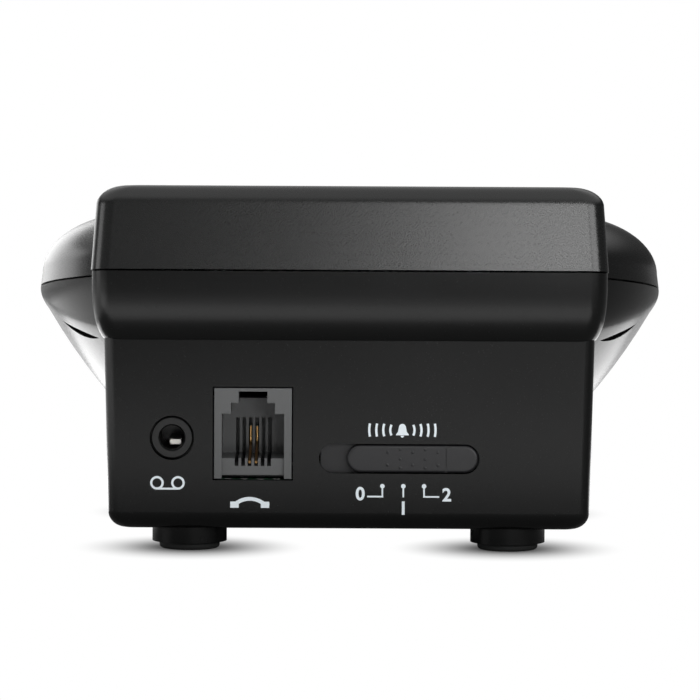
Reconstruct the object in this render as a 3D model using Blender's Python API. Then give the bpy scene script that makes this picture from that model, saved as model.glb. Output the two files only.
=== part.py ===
"""Base of a call-centre telephone: a round, tilted dial-pad body, a raised block along its back edge and a
connector box below. Metres, +Z up. The user sits on the -Y side and the connectors face +Y."""

import math

import bpy
from mathutils import Matrix, Vector

# Clearances and helpers' sizes
FIT = 0.0003  # between pieces that rest on or in each other
RUN = 0.0002  # round a piece that slides or turns
OVER = 0.0020  # how far a cutter or a joined shape runs past the face it crosses
SINK = 0.0004  # how deep a post or a dome is rooted in what carries it
SMOOTH_ANGLE = math.radians(32)

# Counts of straight sides in round shapes
BODY_SIDES = 48
PLATE_SIDES = 36
POST_SIDES = 12
WIRE_SIDES = 6
CORNER_STEPS = 3
KEY_CORNER_STEPS = 2
FILLET_STEPS = 5

# Round body and the tilted plane where the two case halves meet
BODY_RADIUS = 0.0507
REAR_REACH = 0.0460  # from the round body's axis back to the block's rear face
FACE_TILT = math.radians(7.4)
PART_REAR_Z = 0.0446  # height of the parting plane at the rear face
PART_GAP = 0.0003
REAR_Y = (REAR_REACH + BODY_RADIUS * math.cos(FACE_TILT)) / 2
BODY_Y = REAR_Y - REAR_REACH
PART_Z = PART_REAR_Z - REAR_REACH * math.tan(FACE_TILT)
FACE = Matrix.Translation((0, BODY_Y, PART_Z)) @ Matrix.Rotation(FACE_TILT, 4, "X")

# Feet
PAD_RADIUS = 0.0048
PAD_DROP = 0.0012  # how far the rubber stands below its boss
PAD_SEAT = 0.0010  # how deep the boss takes the rubber
PAD_ROUND = 0.0004
BOSS_RADIUS = 0.0059
BOSS_DROP = 0.00255
BASE_HALF_WIDTH = 0.03855
FOOT_INSET = 0.01335
REAR_FOOT_INSET = 0.0103
FRONT_FOOT_REACH = 0.0168
FOOT_X = BASE_HALF_WIDTH - FOOT_INSET
REAR_FOOT_Y = REAR_Y - REAR_FOOT_INSET
FRONT_FOOT_Y = BODY_Y - FRONT_FOOT_REACH
FEET = {
    "foot_rear_right": (FOOT_X, REAR_FOOT_Y),
    "foot_rear_left": (-FOOT_X, REAR_FOOT_Y),
    "foot_front_right": (FOOT_X, FRONT_FOOT_Y),
    "foot_front_left": (-FOOT_X, FRONT_FOOT_Y),
}

# Connector box
CASE_WALL = 0.0020
BASE_Z = PAD_DROP + BOSS_DROP
STEP_Z = 0.0336  # where the box meets the shoulder that overhangs it
BASE_DRAFT = 0.00075
BASE_FRONT_REACH = 0.0330
BASE_FRONT_ROUND = 0.0120
BASE_REAR_ROUND = 0.0016
BASE_FILLET = 0.0028
BASE_FRONT_Y = BODY_Y - BASE_FRONT_REACH

# Shoulder below the parting plane
OVERHANG = 0.0019
SHOULDER_CURL = 0.0100
SHOULDER_ROUND = 0.0028
SHOULDER_FRONT_REACH = 0.0050  # the shoulder's front end lies inside the round body, this far behind its axis
SHOULDER_INNER_RISE = 0.0030
SHOULDER_SHARES = (0.06, 0.18, 0.4, 0.7, 1.0)
WALL_Y = REAR_Y - OVERHANG  # outer face of the connector wall
INNER_WALL_Y = WALL_Y - CASE_WALL

# Bowl under the round body
CREASE_Z = 0.0357  # at the sides
CREASE_INSET = 0.0013
CREASE_DROP = 0.0062  # at the front
BAND_SHARES = (0.0, 0.35, 0.7, 1.0)
BOWL_FOOT_RADIUS = 0.0205
BOWL_FOOT_RISE = 0.0006
BOWL_BULGE = 0.0024
BOWL_SHARES = (0.2, 0.42, 0.68, 1.0)
BOWL_WALL = 0.0024  # measured level, which makes the slanting wall 2 mm thick

# Sound vents in the flanks
VENT_LENGTH = 0.0134
VENT_WIDTH = 0.0012
VENT_UPPER_SHARE = 0.3  # of the width, above the line between the ends
VENT_FALL = math.radians(7.3)  # towards the back
VENT_DEPTH = 0.0040
VENT_X = 0.0431
VENT_BACK = 0.0215  # behind the round body's axis
VENT_Z = 0.0335
VENT_STEPS = 5

# Top cover
COVER_SIDE_HEIGHT = 0.0025
COVER_SIDE_DRAFT = 0.0003
COVER_TOP = 0.0117  # height of the flat top over the parting plane
COVER_ROUND = 0.0140  # how far in the round shoulder of the cover reaches
COVER_WALL = 0.0020
COVER_TOP_WALL = 0.0028
COVER_ROUND_STEPS = 7

# Raised block on the cover
BLOCK_SIDE_STEP = 0.00015  # how far the block stands out past the shoulder under it
BLOCK_HALF_WIDTH = BASE_HALF_WIDTH + OVERHANG + BLOCK_SIDE_STEP
BLOCK_SIDE_DRAFT = 0.0008
BLOCK_TOP_Z = 0.0581
BLOCK_TOP_TILT = math.radians(5.0)
BLOCK_DEPTH = 0.0180
BLOCK_CORNER = 0.0030
BLOCK_EDGE_HEIGHT = 0.0031
BLOCK_EDGE_SIDE = 0.0049  # the round edge is wider at the sides than behind
BLOCK_EDGE_REAR = 0.0024

# Face plate and what shows through it
PLATE_MARGIN = 0.0014  # between the plate and the cover's round shoulder, at the front
PLATE_SHIFT = 0.0040  # how far the plate's middle lies down the slope from the round body's axis
PLATE_ROW = -PLATE_SHIFT
PLATE_RADIUS = BODY_RADIUS - COVER_SIDE_DRAFT - COVER_ROUND - PLATE_MARGIN - PLATE_SHIFT
PLATE_THICKNESS = 0.0016
PLATE_PROUD = 0.0003
PLATE_LEDGE = 0.0017
PLATE_TOP = COVER_TOP + PLATE_PROUD
PLATE_BOTTOM = PLATE_TOP - PLATE_THICKNESS
WINDOW_RADIUS = PLATE_RADIUS - PLATE_LEDGE

# Keys
KEY_GAP = 0.0003
KEY_FLANGE = 0.0008
KEY_FLANGE_HEIGHT = 0.0009
KEY_PROUD = 0.0018
KEY_EDGE = 0.0006
# Shares of the plate's radius that lay out the keys
COLUMN_PITCH_SHARE = 0.42
ROW_PITCH_SHARE = 0.339
FIRST_ROW_SHARE = 0.468
DIGIT_WIDTH_SHARE = 0.161
DIGIT_HEIGHT_SHARE = 0.119
SIDE_KEY_X_SHARE = 0.748
SIDE_KEY_ROW_SHARE = 0.142
SIDE_KEY_WIDTH_SHARE = 0.1
SIDE_KEY_HEIGHT_SHARE = 0.09
TALK_KEY_ROW_SHARE = -0.89
TALK_KEY_WIDTH_SHARE = 0.274
TALK_KEY_HEIGHT_SHARE = 0.106
CORNER_SHARE = 0.72  # of a digit key's half height
ROUND_SHARE = 0.92  # of the other keys' half heights
COLUMN_PITCH = PLATE_RADIUS * COLUMN_PITCH_SHARE
ROW_PITCH = PLATE_RADIUS * ROW_PITCH_SHARE
FIRST_ROW = PLATE_RADIUS * FIRST_ROW_SHARE
DIGIT_HALF_WIDTH = PLATE_RADIUS * DIGIT_WIDTH_SHARE
DIGIT_HALF_HEIGHT = PLATE_RADIUS * DIGIT_HEIGHT_SHARE
DIGIT_CORNER = DIGIT_HALF_HEIGHT * CORNER_SHARE
SIDE_KEY_X = PLATE_RADIUS * SIDE_KEY_X_SHARE
SIDE_KEY_ROW = PLATE_RADIUS * SIDE_KEY_ROW_SHARE
SIDE_KEY_HALF_WIDTH = PLATE_RADIUS * SIDE_KEY_WIDTH_SHARE
SIDE_KEY_HALF_HEIGHT = PLATE_RADIUS * SIDE_KEY_HEIGHT_SHARE
SIDE_KEY_CORNER = SIDE_KEY_HALF_HEIGHT * ROUND_SHARE
TALK_KEY_ROW = PLATE_RADIUS * TALK_KEY_ROW_SHARE
TALK_KEY_HALF_WIDTH = PLATE_RADIUS * TALK_KEY_WIDTH_SHARE
TALK_KEY_HALF_HEIGHT = PLATE_RADIUS * TALK_KEY_HEIGHT_SHARE
TALK_KEY_CORNER = TALK_KEY_HALF_HEIGHT * ROUND_SHARE
DIGIT_ROWS = (("1", "2", "3"), ("4", "5", "6"), ("7", "8", "9"), ("star", "0", "hash"))

# Rubber key mat and the board under it
FLANGE_BOTTOM = PLATE_BOTTOM - FIT - KEY_FLANGE_HEIGHT
DOME_HEIGHT = 0.0019
DOME_TOP_RADIUS = 0.0013
DOME_FOOT_RADIUS = 0.0024
DOME_SIDES = 8
MAT_THICKNESS = 0.0010
MAT_INSET = 0.0025
MAT_RADIUS = PLATE_RADIUS - MAT_INSET
MAT_TOP = FLANGE_BOTTOM - FIT - DOME_HEIGHT
KEY_BOARD_RADIUS = MAT_RADIUS + FIT
KEY_BOARD_THICKNESS = 0.0012
KEY_BOARD_TOP = MAT_TOP - MAT_THICKNESS - FIT
KEY_BOARD_BOTTOM = KEY_BOARD_TOP - KEY_BOARD_THICKNESS
PLATE_POST_RADIUS = 0.0017
LOW_POST_X_SHARE = 0.69
LOW_POST_ROW_SHARE = -0.452
HIGH_POST_X_SHARE = 0.258
HIGH_POST_ROW_SHARE = 0.684
LOW_POST_X = PLATE_RADIUS * LOW_POST_X_SHARE
LOW_POST_ROW = PLATE_RADIUS * LOW_POST_ROW_SHARE
HIGH_POST_X = PLATE_RADIUS * HIGH_POST_X_SHARE
HIGH_POST_ROW = PLATE_RADIUS * HIGH_POST_ROW_SHARE
PLATE_SCREWS = ((LOW_POST_X, LOW_POST_ROW), (-LOW_POST_X, LOW_POST_ROW))
PLATE_POSTS = (*PLATE_SCREWS, (HIGH_POST_X, HIGH_POST_ROW), (-HIGH_POST_X, HIGH_POST_ROW))

# Line lamp
LAMP_ROW_SHARE = 0.716
LAMP_ROW = PLATE_RADIUS * LAMP_ROW_SHARE
LAMP_RADIUS = 0.0015
LAMP_BASE_RADIUS = 0.0018
LAMP_BASE_HEIGHT = 0.0009
LENS_RADIUS = 0.0017
LENS_FLANGE = 0.0005
LENS_FLANGE_HEIGHT = 0.0005
LENS_PROUD = 0.0003

# Volume wheel and its potentiometer
WHEEL_X_SHARE = 0.768
WHEEL_ROW_SHARE = 0.168
WHEEL_X = PLATE_RADIUS * WHEEL_X_SHARE
WHEEL_ROW = PLATE_RADIUS * WHEEL_ROW_SHARE
WHEEL_RADIUS = 0.0050
WHEEL_WIDTH = 0.0030
WHEEL_PROUD = 0.0020
WHEEL_TEETH = 24
WHEEL_TOOTH_DEPTH = 0.0003
WHEEL_HEIGHT = PLATE_TOP + WHEEL_PROUD - WHEEL_RADIUS
AXLE_RADIUS = 0.0006
AXLE_LENGTH = 0.0022
AXLE_PLAY = 0.00008
POT_THICKNESS = 0.0028
POT_RISE = 0.0010  # above the axle
POT_DROP = 0.0044
POT_HALF_LENGTH = 0.0040
NOTCH_MARGIN = 0.0006

# Screws
SCREW_HEAD_RADIUS = 0.0025
SCREW_HEAD_HEIGHT = 0.0018
SCREW_RADIUS = 0.0011
SCREW_HOLE_RADIUS = 0.0014
CASE_SCREW_LENGTH = 0.0110
CASE_POST_RADIUS = 0.0039
CASE_POST_BORE = 0.0028
CASE_POST_SEAT = 0.0050  # the head's seat lies this far below the parting plane
COVER_POST_RADIUS = 0.0028
COVER_POST_LENGTH = COVER_TOP - COVER_TOP_WALL + SINK
REAR_POST_ANGLE = math.radians(23.7)  # round the face plate's middle, from straight across
FRONT_POST_ANGLE = math.radians(-44.7)
POST_CLEARANCE = 0.0006
POST_CIRCLE = WINDOW_RADIUS + COVER_POST_RADIUS + POST_CLEARANCE
REAR_POST_X = POST_CIRCLE * math.cos(REAR_POST_ANGLE)
REAR_POST_Y = BODY_Y + PLATE_ROW + POST_CIRCLE * math.sin(REAR_POST_ANGLE)
FRONT_POST_X = POST_CIRCLE * math.cos(FRONT_POST_ANGLE)
FRONT_POST_Y = BODY_Y + PLATE_ROW + POST_CIRCLE * math.sin(FRONT_POST_ANGLE)
CASE_SCREWS = {
    "case_screw_rear_right": (REAR_POST_X, REAR_POST_Y),
    "case_screw_rear_left": (-REAR_POST_X, REAR_POST_Y),
    "case_screw_front_right": (FRONT_POST_X, FRONT_POST_Y),
    "case_screw_front_left": (-FRONT_POST_X, FRONT_POST_Y),
}
SMALL_HEAD_RADIUS = 0.0019
SMALL_HEAD_HEIGHT = 0.0012
SMALL_SCREW_RADIUS = 0.0008
SMALL_HOLE_RADIUS = 0.0010
SMALL_SCREW_LENGTH = 0.0042

# Main board
MAIN_BOARD_TOP = 0.01145
MAIN_BOARD_THICKNESS = 0.0016
BOARD_SIDE_GAP = 0.0013
BOARD_FRONT_GAP = 0.0010
BOARD_REAR_GAP = 0.0018
MAIN_BOARD_HALF_WIDTH = BASE_HALF_WIDTH - CASE_WALL - BOARD_SIDE_GAP
MAIN_BOARD_FRONT_Y = REAR_POST_Y + CASE_POST_RADIUS + BOARD_FRONT_GAP
MAIN_BOARD_REAR_Y = INNER_WALL_Y - BOARD_REAR_GAP
MAIN_BOARD_BOTTOM = MAIN_BOARD_TOP - MAIN_BOARD_THICKNESS
BOARD_POST_RADIUS = 0.0025
BOARD_POST_INSET = 0.0035
BOARD_POST_HALF_WIDTH = MAIN_BOARD_HALF_WIDTH - BOARD_POST_INSET
BOARD_POST_FRONT_Y = MAIN_BOARD_FRONT_Y + BOARD_POST_INSET
BOARD_POST_REAR_Y = MAIN_BOARD_REAR_Y - BOARD_POST_INSET
BOARD_POST_HOLE_DEPTH = 0.0034
PART_ON_BOARD = MAIN_BOARD_TOP + FIT

# Modular jacks
CONTACT_PITCH = 0.00102
CONTACT_SLOT = 0.0006
CONTACT_WIRE_RADIUS = 0.00022
CONTACT_SLOT_DEPTH = 0.0012
JACK_DEPTH = 0.0140
JACK_CAVITY = 0.0102
JACK_SET_BACK = 0.0001
JACK_LIP_SET = 0.0006
JACK_GAP_HEIGHT = 0.0006
JACK_GAP_DEPTH = 0.0040
JACK_BACK_SLOT = 0.0013
JACK_BACK_RISE = 0.0056
LINE_X = 0.0151
LINE_WIDTH = 0.01223
LINE_HEIGHT = 0.01434
LINE_FLOOR = 0.0032
LINE_MOUTH_WIDTH = 0.0098
LINE_MOUTH_HEIGHT = 0.0070
LINE_STEP_WIDTH = 0.0069
LINE_STEP_HEIGHT = 0.0017
LINE_LATCH_WIDTH = 0.0045
LINE_LATCH_HEIGHT = 0.0018
HEADSET_INSET = 0.0200
HEADSET_Y = WALL_Y - HEADSET_INSET
HEADSET_WIDTH = 0.0103
HEADSET_HEIGHT = 0.0121
HEADSET_FLOOR = 0.0024
HEADSET_MOUTH_WIDTH = 0.0077
HEADSET_MOUTH_HEIGHT = 0.0064
HEADSET_STEP_WIDTH = 0.0052
HEADSET_STEP_HEIGHT = 0.0011
HEADSET_LATCH_WIDTH = 0.0031
HEADSET_LATCH_HEIGHT = 0.0012
WIRE_START = 0.0009
WIRE_RISE = 0.0011
WIRE_TAIL = 0.0042
WIRE_BACK_IN = 0.0006

# Recording jack
REC_X = 0.0278
REC_Z = 0.0182
REC_HOLE_RADIUS = 0.0035
REC_COLLAR_RADIUS = 0.0033
REC_BORE_RADIUS = 0.0019
REC_SET_BACK = 0.0004
REC_HALF_WIDTH = 0.0034
REC_BODY_HEIGHT = 0.0104
REC_BODY_DEPTH = 0.0095
REC_BORE_DEPTH = 0.0100
REC_CONTACT_WIDTH = 0.0016
REC_CONTACT_THICKNESS = 0.0003
REC_CONTACT_LOW = 0.0012  # below the bore's centre
REC_CONTACT_RISE = 0.0005
REC_CONTACT_SIDE = 0.0004
REC_CONTACT_SET_BACK = 0.0026
REC_CONTACT_TAIL = 0.0012
REC_SIDES = 20

# Ringer slide
SLOT_X = -0.0079
SLOT_Z = 0.01505
SLOT_LENGTH = 0.0252
SLOT_HEIGHT = 0.0047
KNOB_LENGTH = 0.0206
KNOB_PROUD = 0.0001
KNOB_TRAVEL = 0.0040
KNOB_X = SLOT_X - (SLOT_LENGTH - KNOB_LENGTH) / 2 + RUN
KNOB_PLATE_THICKNESS = 0.0010
KNOB_PLATE_HEIGHT = 0.0068
KNOB_PLATE_HIGH_X = SLOT_X + SLOT_LENGTH / 2 - RUN
KNOB_PLATE_LOW_X = SLOT_X - SLOT_LENGTH / 2 - KNOB_TRAVEL
KNOB_PLATE_REAR_Y = INNER_WALL_Y - FIT
KNOB_PLATE_FRONT_Y = KNOB_PLATE_REAR_Y - KNOB_PLATE_THICKNESS
FORK_GAP = 0.0003
FORK_WALL = 0.0008
FORK_REACH = 0.0010
STADIUM_STEPS = 8
SWITCH_HALF_LENGTH = 0.0062
SWITCH_DEPTH = 0.0045
SWITCH_HEIGHT = 0.0056
SWITCH_POCKET = 0.0012
LEVER_WIDTH = 0.0020
LEVER_HEIGHT = 0.0018
SWITCH_X = KNOB_X + KNOB_TRAVEL / 2
SWITCH_REAR_Y = KNOB_PLATE_FRONT_Y - FORK_REACH - RUN

# Pieces on the main board and in the base
TRANSFORMER_X = -0.0010
TRANSFORMER_BACK = 0.0073
TRANSFORMER_Y = MAIN_BOARD_FRONT_Y + TRANSFORMER_BACK
TRANSFORMER_HALF_LENGTH = 0.0070
TRANSFORMER_HALF_WIDTH = 0.0030
TRANSFORMER_HEIGHT = 0.0110
COIL_HALF_LENGTH = 0.0042
COIL_HALF_WIDTH = 0.0055
COIL_MARGIN = 0.0018
CAPACITOR_X = 0.0200
CAPACITOR_Y = TRANSFORMER_Y
CAPACITOR_RADIUS = 0.0031
CAPACITOR_HEIGHT = 0.0110
CAPACITOR_GROOVE = 0.0003
CAPACITOR_GROOVE_RISE = 0.0014
CAPACITOR_SIDES = 16
CHIP_X = -0.0165
CHIP_BACK = 0.0063
CHIP_Y = MAIN_BOARD_FRONT_Y + CHIP_BACK
CHIP_HALF_LENGTH = 0.0048
CHIP_HALF_WIDTH = 0.0031
CHIP_HEIGHT = 0.0024
CHIP_ROUND = 0.0005
SOUNDER_REACH = 0.0090
SOUNDER_Y = BODY_Y - SOUNDER_REACH
SOUNDER_RADIUS = 0.0110
SOUNDER_HEIGHT = 0.0060
SOUNDER_EDGE = 0.0008
SOUNDER_PORT_RADIUS = 0.0016
SOUNDER_PORT_DEPTH = 0.0012
RIBBON_X = -0.0060
RIBBON_HALF_WIDTH = 0.0060
RIBBON_THICKNESS = 0.0005
RIBBON_SAG = 0.0060
RIBBON_STEPS = 14
RIBBON_LEAD = 0.0012
RIBBON_ROW_SHARE = 0.532
RIBBON_ROW = PLATE_RADIUS * RIBBON_ROW_SHARE


def material(name, colour, roughness, metallic=0.0):
    """A plain surface for one kind of piece."""
    surface = bpy.data.materials.new(name)
    surface.use_nodes = True
    shader = surface.node_tree.nodes["Principled BSDF"]
    shader.inputs["Base Color"].default_value = (*colour, 1)
    shader.inputs["Roughness"].default_value = roughness
    shader.inputs["Metallic"].default_value = metallic
    surface.diffuse_color = (*colour, 1)
    return surface


class Shape:
    """Closed shells gathered in one mesh. Each is a stack of rings, counter-clockwise seen from its end."""

    def __init__(self):
        self.points = []
        self.faces = []

    def loft(self, rings):
        start = len(self.points)
        count = len(rings[0])
        for ring in rings:
            self.points.extend(Vector(point) for point in ring)
        for level in range(len(rings) - 1):
            low = start + level * count
            for side in range(count):
                after = (side + 1) % count
                self.faces.append((low + side, low + after, low + count + after, low + count + side))
        last = start + (len(rings) - 1) * count
        self.faces.append(tuple(reversed(range(start, start + count))))
        self.faces.append(tuple(range(last, last + count)))
        return self

    def block(self, low, high):
        return self.loft([rectangle(low, high, z) for z in (low[2], high[2])])

    def turned(self, profile, sides, centre=(0, 0)):
        """A round body from (radius, height) pairs, lowest first."""
        return self.loft([circle(radius, height, sides, centre) for radius, height in profile])

    def moved(self, matrix):
        self.points = [matrix @ point for point in self.points]
        return self

    def build(self, name, surface=None):
        mesh = bpy.data.meshes.new(name)
        mesh.from_pydata([tuple(point) for point in self.points], [], self.faces)
        mesh.shade_smooth()
        mesh.set_sharp_from_angle(angle=SMOOTH_ANGLE)
        made = bpy.data.objects.new(name, mesh)
        bpy.context.scene.collection.objects.link(made)
        if surface:
            mesh.materials.append(surface)
        else:
            made.hide_render = True
            made.display_type = "WIRE"
        return made


def level(height):
    return lambda y: height


def along_part(offset):
    """Heights that follow the tilted parting plane."""
    return lambda y: PART_Z + (y - BODY_Y) * math.tan(FACE_TILT) + offset


def rectangle(low, high, height):
    corners = ((low[0], low[1]), (high[0], low[1]), (high[0], high[1]), (low[0], high[1]))
    return [(x, y, height) for x, y in corners]


def circle(radius, height, sides, centre=(0, 0)):
    """A ring. Its height is a number, or a function of y."""
    ring = []
    for side in range(sides):
        angle = 2 * math.pi * side / sides
        y = centre[1] + radius * math.sin(angle)
        ring.append((centre[0] + radius * math.cos(angle), y, height(y) if callable(height) else height))
    return ring


def rounded(half_width, front_y, rear_y, front_round, rear_round, height, steps=CORNER_STEPS):
    """A rectangle with round corners, whose height is a function of y."""
    corners = (
        (half_width - rear_round, rear_y - rear_round, rear_round),
        (rear_round - half_width, rear_y - rear_round, rear_round),
        (front_round - half_width, front_y + front_round, front_round),
        (half_width - front_round, front_y + front_round, front_round),
    )
    ring = []
    for quarter, (x, y, radius) in enumerate(corners):
        for step in range(steps + 1):
            angle = math.pi / 2 * (quarter + step / steps)
            edge_y = y + radius * math.sin(angle)
            ring.append((x + radius * math.cos(angle), edge_y, height(edge_y)))
    return ring


def stadium(half_length, half_height, depth):
    """A slot's outline in X and Z, counter-clockwise seen from +Y, at one depth."""
    ring = []
    for end in (1, -1):
        for step in range(STADIUM_STEPS + 1):
            angle = math.pi * (step / STADIUM_STEPS - 0.5)
            x = end * (half_length - half_height + half_height * math.cos(angle))
            ring.append((x, depth, -end * half_height * math.sin(angle)))
    return ring


def change(target, other, operation):
    """Cuts the other shape from the target, or joins it on, and keeps it as a helper."""
    modifier = target.modifiers.new(other.name, "BOOLEAN")
    modifier.operation = operation
    modifier.object = other
    return target


def cut(target, shape, name):
    return change(target, shape.build(f"{target.name}_{name}_cutter"), "DIFFERENCE")


def join(target, shape, name):
    return change(target, shape.build(f"{target.name}_{name}_joined"), "UNION")


def set_origin(made, matrix):
    """Puts a piece's origin on its joint, with its shape left where it is."""
    made.data.transform(matrix.inverted())
    made.matrix_world = matrix


def face_point(x, row, height):
    """A place given in the tilted face's own directions."""
    return FACE @ Vector((x, row, height))


def base_half_width(z):
    return BASE_HALF_WIDTH - BASE_DRAFT * (STEP_Z - z) / (STEP_Z - BASE_Z)


def fillet(radius):
    """(inset, rise) pairs along a quarter round, from the flat to the wall."""
    for step in range(FILLET_STEPS + 1):
        angle = math.pi / 2 * step / FILLET_STEPS
        yield radius * (1 - math.sin(angle)), radius * (1 - math.cos(angle))


def base_shape():
    rings = []
    for inset, rise in fillet(BASE_FILLET):
        z = BASE_Z + rise
        rings.append(base_ring(inset, z))
    rings.append(base_ring(0, STEP_Z + OVER))
    return Shape().loft(rings)


def base_ring(inset, z):
    return rounded(
        base_half_width(z) - inset,
        BASE_FRONT_Y + inset,
        WALL_Y - inset,
        BASE_FRONT_ROUND - inset,
        BASE_REAR_ROUND,
        level(z),
    )


def base_hollow():
    rings = [
        rounded(
            base_half_width(z) - CASE_WALL,
            BASE_FRONT_Y + CASE_WALL,
            INNER_WALL_Y,
            BASE_FRONT_ROUND - CASE_WALL,
            BASE_REAR_ROUND,
            level(z),
        )
        for z in (BASE_Z + CASE_WALL, STEP_Z + 2 * OVER)
    ]
    return Shape().loft(rings)


def shoulder_ring(offset, height):
    return rounded(
        BASE_HALF_WIDTH + offset,
        BODY_Y + SHOULDER_FRONT_REACH,
        WALL_Y + offset,
        BASE_REAR_ROUND,
        SHOULDER_ROUND,
        height,
    )


def shoulder_shape():
    rings = [shoulder_ring(-CASE_WALL / 2, level(STEP_Z))]
    for share in SHOULDER_SHARES:
        offset = OVERHANG * (1 - (1 - share) ** 3) ** 0.75
        rings.append(shoulder_ring(offset, level(STEP_Z + SHOULDER_CURL * share)))
    rings.append(shoulder_ring(OVERHANG, level(PART_REAR_Z + OVER)))
    return Shape().loft(rings)


def shoulder_hollow():
    low = STEP_Z + SHOULDER_INNER_RISE
    high = PART_REAR_Z + 2 * OVER
    return Shape().loft([shoulder_ring(OVERHANG - CASE_WALL, level(z)) for z in (low, high)])


def crease_height(y):
    """The bowl's crease is highest at the sides and falls towards the front and the back."""
    return CREASE_Z - CREASE_DROP * ((y - BODY_Y) / BODY_RADIUS) ** 2


def bowl_ring(radius, rear_y, height):
    """A ring of the bowl, flat behind, whose height is a function of y."""
    ring = []
    for side in range(BODY_SIDES):
        angle = 2 * math.pi * side / BODY_SIDES
        y = min(BODY_Y + radius * math.cos(FACE_TILT) * math.sin(angle), rear_y)
        ring.append((radius * math.cos(angle), y, height(y)))
    return ring


def bowl_shape(inset, foot_z, rear_y):
    """The bowl, or with an inset the hollow in it."""
    crease_radius = BODY_RADIUS - CREASE_INSET
    part = along_part(0)
    rings = []
    for share in reversed(BOWL_SHARES):
        radius = crease_radius + (BOWL_FOOT_RADIUS - crease_radius) * share
        bulge = 4 * BOWL_BULGE * share * (1 - share) * math.sqrt(0.5)
        height = lambda y, share=share, bulge=bulge: crease_height(y) * (1 - share) + foot_z * share - bulge
        rings.append(bowl_ring(radius + bulge - inset, rear_y, height))
    for share in reversed(BAND_SHARES):
        height = lambda y, share=share: part(y) * (1 - share) + crease_height(y) * share
        rings.append(bowl_ring(BODY_RADIUS - CREASE_INSET * share**2.2 - inset, rear_y, height))
    rings.append(bowl_ring(BODY_RADIUS - inset, rear_y, level(PART_REAR_Z + 2 * OVER + inset)))
    return Shape().loft(rings)


def vent_shape(side):
    """A thin lens-shaped prism that runs in square to the flank and falls with the crease."""
    out = Vector((side * VENT_X, VENT_BACK, 0)).normalized()
    slope = math.atan2(CREASE_Z - BASE_Z, BODY_RADIUS - BOWL_FOOT_RADIUS)
    inward = Vector((0, 0, 1)) * math.cos(slope) - out * math.sin(slope)
    up_flank = Vector((0, 0, 1)) * math.sin(slope) + out * math.cos(slope)
    level_way = Vector((-side * VENT_BACK, VENT_X, 0)).normalized()
    along = level_way * math.cos(VENT_FALL) - up_flank * math.sin(VENT_FALL)
    across = level_way * math.sin(VENT_FALL) + up_flank * math.cos(VENT_FALL)
    middle = Vector((side * VENT_X, BODY_Y + VENT_BACK, VENT_Z))
    outline = []
    for edge, width_share in ((1, VENT_UPPER_SHARE), (-1, 1 - VENT_UPPER_SHARE)):
        for step in range(VENT_STEPS):
            share = 2 * step / VENT_STEPS - 1
            outline.append((edge * share * VENT_LENGTH / 2, edge * (1 - share**2) * VENT_WIDTH * width_share))
    rings = []
    for reach in (-VENT_DEPTH, VENT_DEPTH):
        ring = [middle + along * x + across * y + inward * reach for x, y in outline]
        rings.append(ring if across.cross(along).dot(inward) > 0 else ring[::-1])
    return Shape().loft(rings)


def lower_case(surface):
    """Bowl, shoulder and connector box in one moulding, with its bosses, posts and openings."""
    case = bowl_shape(0, BASE_Z + BOWL_FOOT_RISE, WALL_Y - CASE_WALL / 2).build("lower_case", surface)
    join(case, base_shape(), "box")
    join(case, shoulder_shape(), "shoulder")
    cut(case, bowl_shape(BOWL_WALL, BASE_Z + CASE_WALL + BOWL_FOOT_RISE, INNER_WALL_Y - RUN), "bowl")
    cut(case, base_hollow(), "box")
    cut(case, shoulder_hollow(), "shoulder")
    posts = Shape()
    for x, y in CASE_SCREWS.values():
        profile = [(CASE_POST_RADIUS, BASE_Z + CASE_WALL - SINK), (CASE_POST_RADIUS, along_part(OVER))]
        posts.turned(profile, POST_SIDES, (x, y))
    join(case, posts, "case_posts")
    half = 2 * BODY_RADIUS
    above = Shape().block((-half, -half, 0), (half, half, BLOCK_TOP_Z)).moved(FACE)
    cut(case, above, "part")
    posts = Shape()
    for x, y in board_post_places():
        profile = [(BOARD_POST_RADIUS, BASE_Z + CASE_WALL - SINK), (BOARD_POST_RADIUS, MAIN_BOARD_BOTTOM - FIT)]
        posts.turned(profile, POST_SIDES, (x, y))
    join(case, posts, "board_posts")
    bosses = Shape()
    for place in FEET.values():
        profile = [(BOSS_RADIUS, PAD_DROP), (BOSS_RADIUS, BASE_Z + SINK)]
        bosses.turned(profile, 2 * POST_SIDES, place)
    join(case, bosses, "foot_bosses")
    seats = Shape()
    for place in FEET.values():
        profile = [(PAD_RADIUS + RUN, PAD_DROP - OVER), (PAD_RADIUS + RUN, PAD_DROP + PAD_SEAT + FIT)]
        seats.turned(profile, 2 * POST_SIDES, place)
    cut(case, seats, "foot_seats")
    bores = Shape()
    for x, y in CASE_SCREWS.values():
        profile = [(CASE_POST_BORE, BASE_Z - OVER), (CASE_POST_BORE, along_part(-CASE_POST_SEAT))]
        bores.turned(profile, POST_SIDES, (x, y))
    cut(case, bores, "case_bores")
    holes = Shape()
    for x, y in CASE_SCREWS.values():
        profile = [(SCREW_HOLE_RADIUS, along_part(-CASE_POST_SEAT - OVER)), (SCREW_HOLE_RADIUS, along_part(OVER))]
        holes.turned(profile, POST_SIDES, (x, y))
    cut(case, holes, "case_holes")
    cut(case, board_screw_holes(), "board_holes")
    cut(case, wall_openings(), "wall")
    for side in (1, -1):
        cut(case, vent_shape(side), "vent_right" if side > 0 else "vent_left")
    return case


def board_post_places():
    """The posts under the main board: two take screws, two only carry it."""
    return (
        (BOARD_POST_HALF_WIDTH, BOARD_POST_FRONT_Y),
        (-BOARD_POST_HALF_WIDTH, BOARD_POST_REAR_Y),
        (-BOARD_POST_HALF_WIDTH, BOARD_POST_FRONT_Y),
        (BOARD_POST_HALF_WIDTH, BOARD_POST_REAR_Y),
    )


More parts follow.
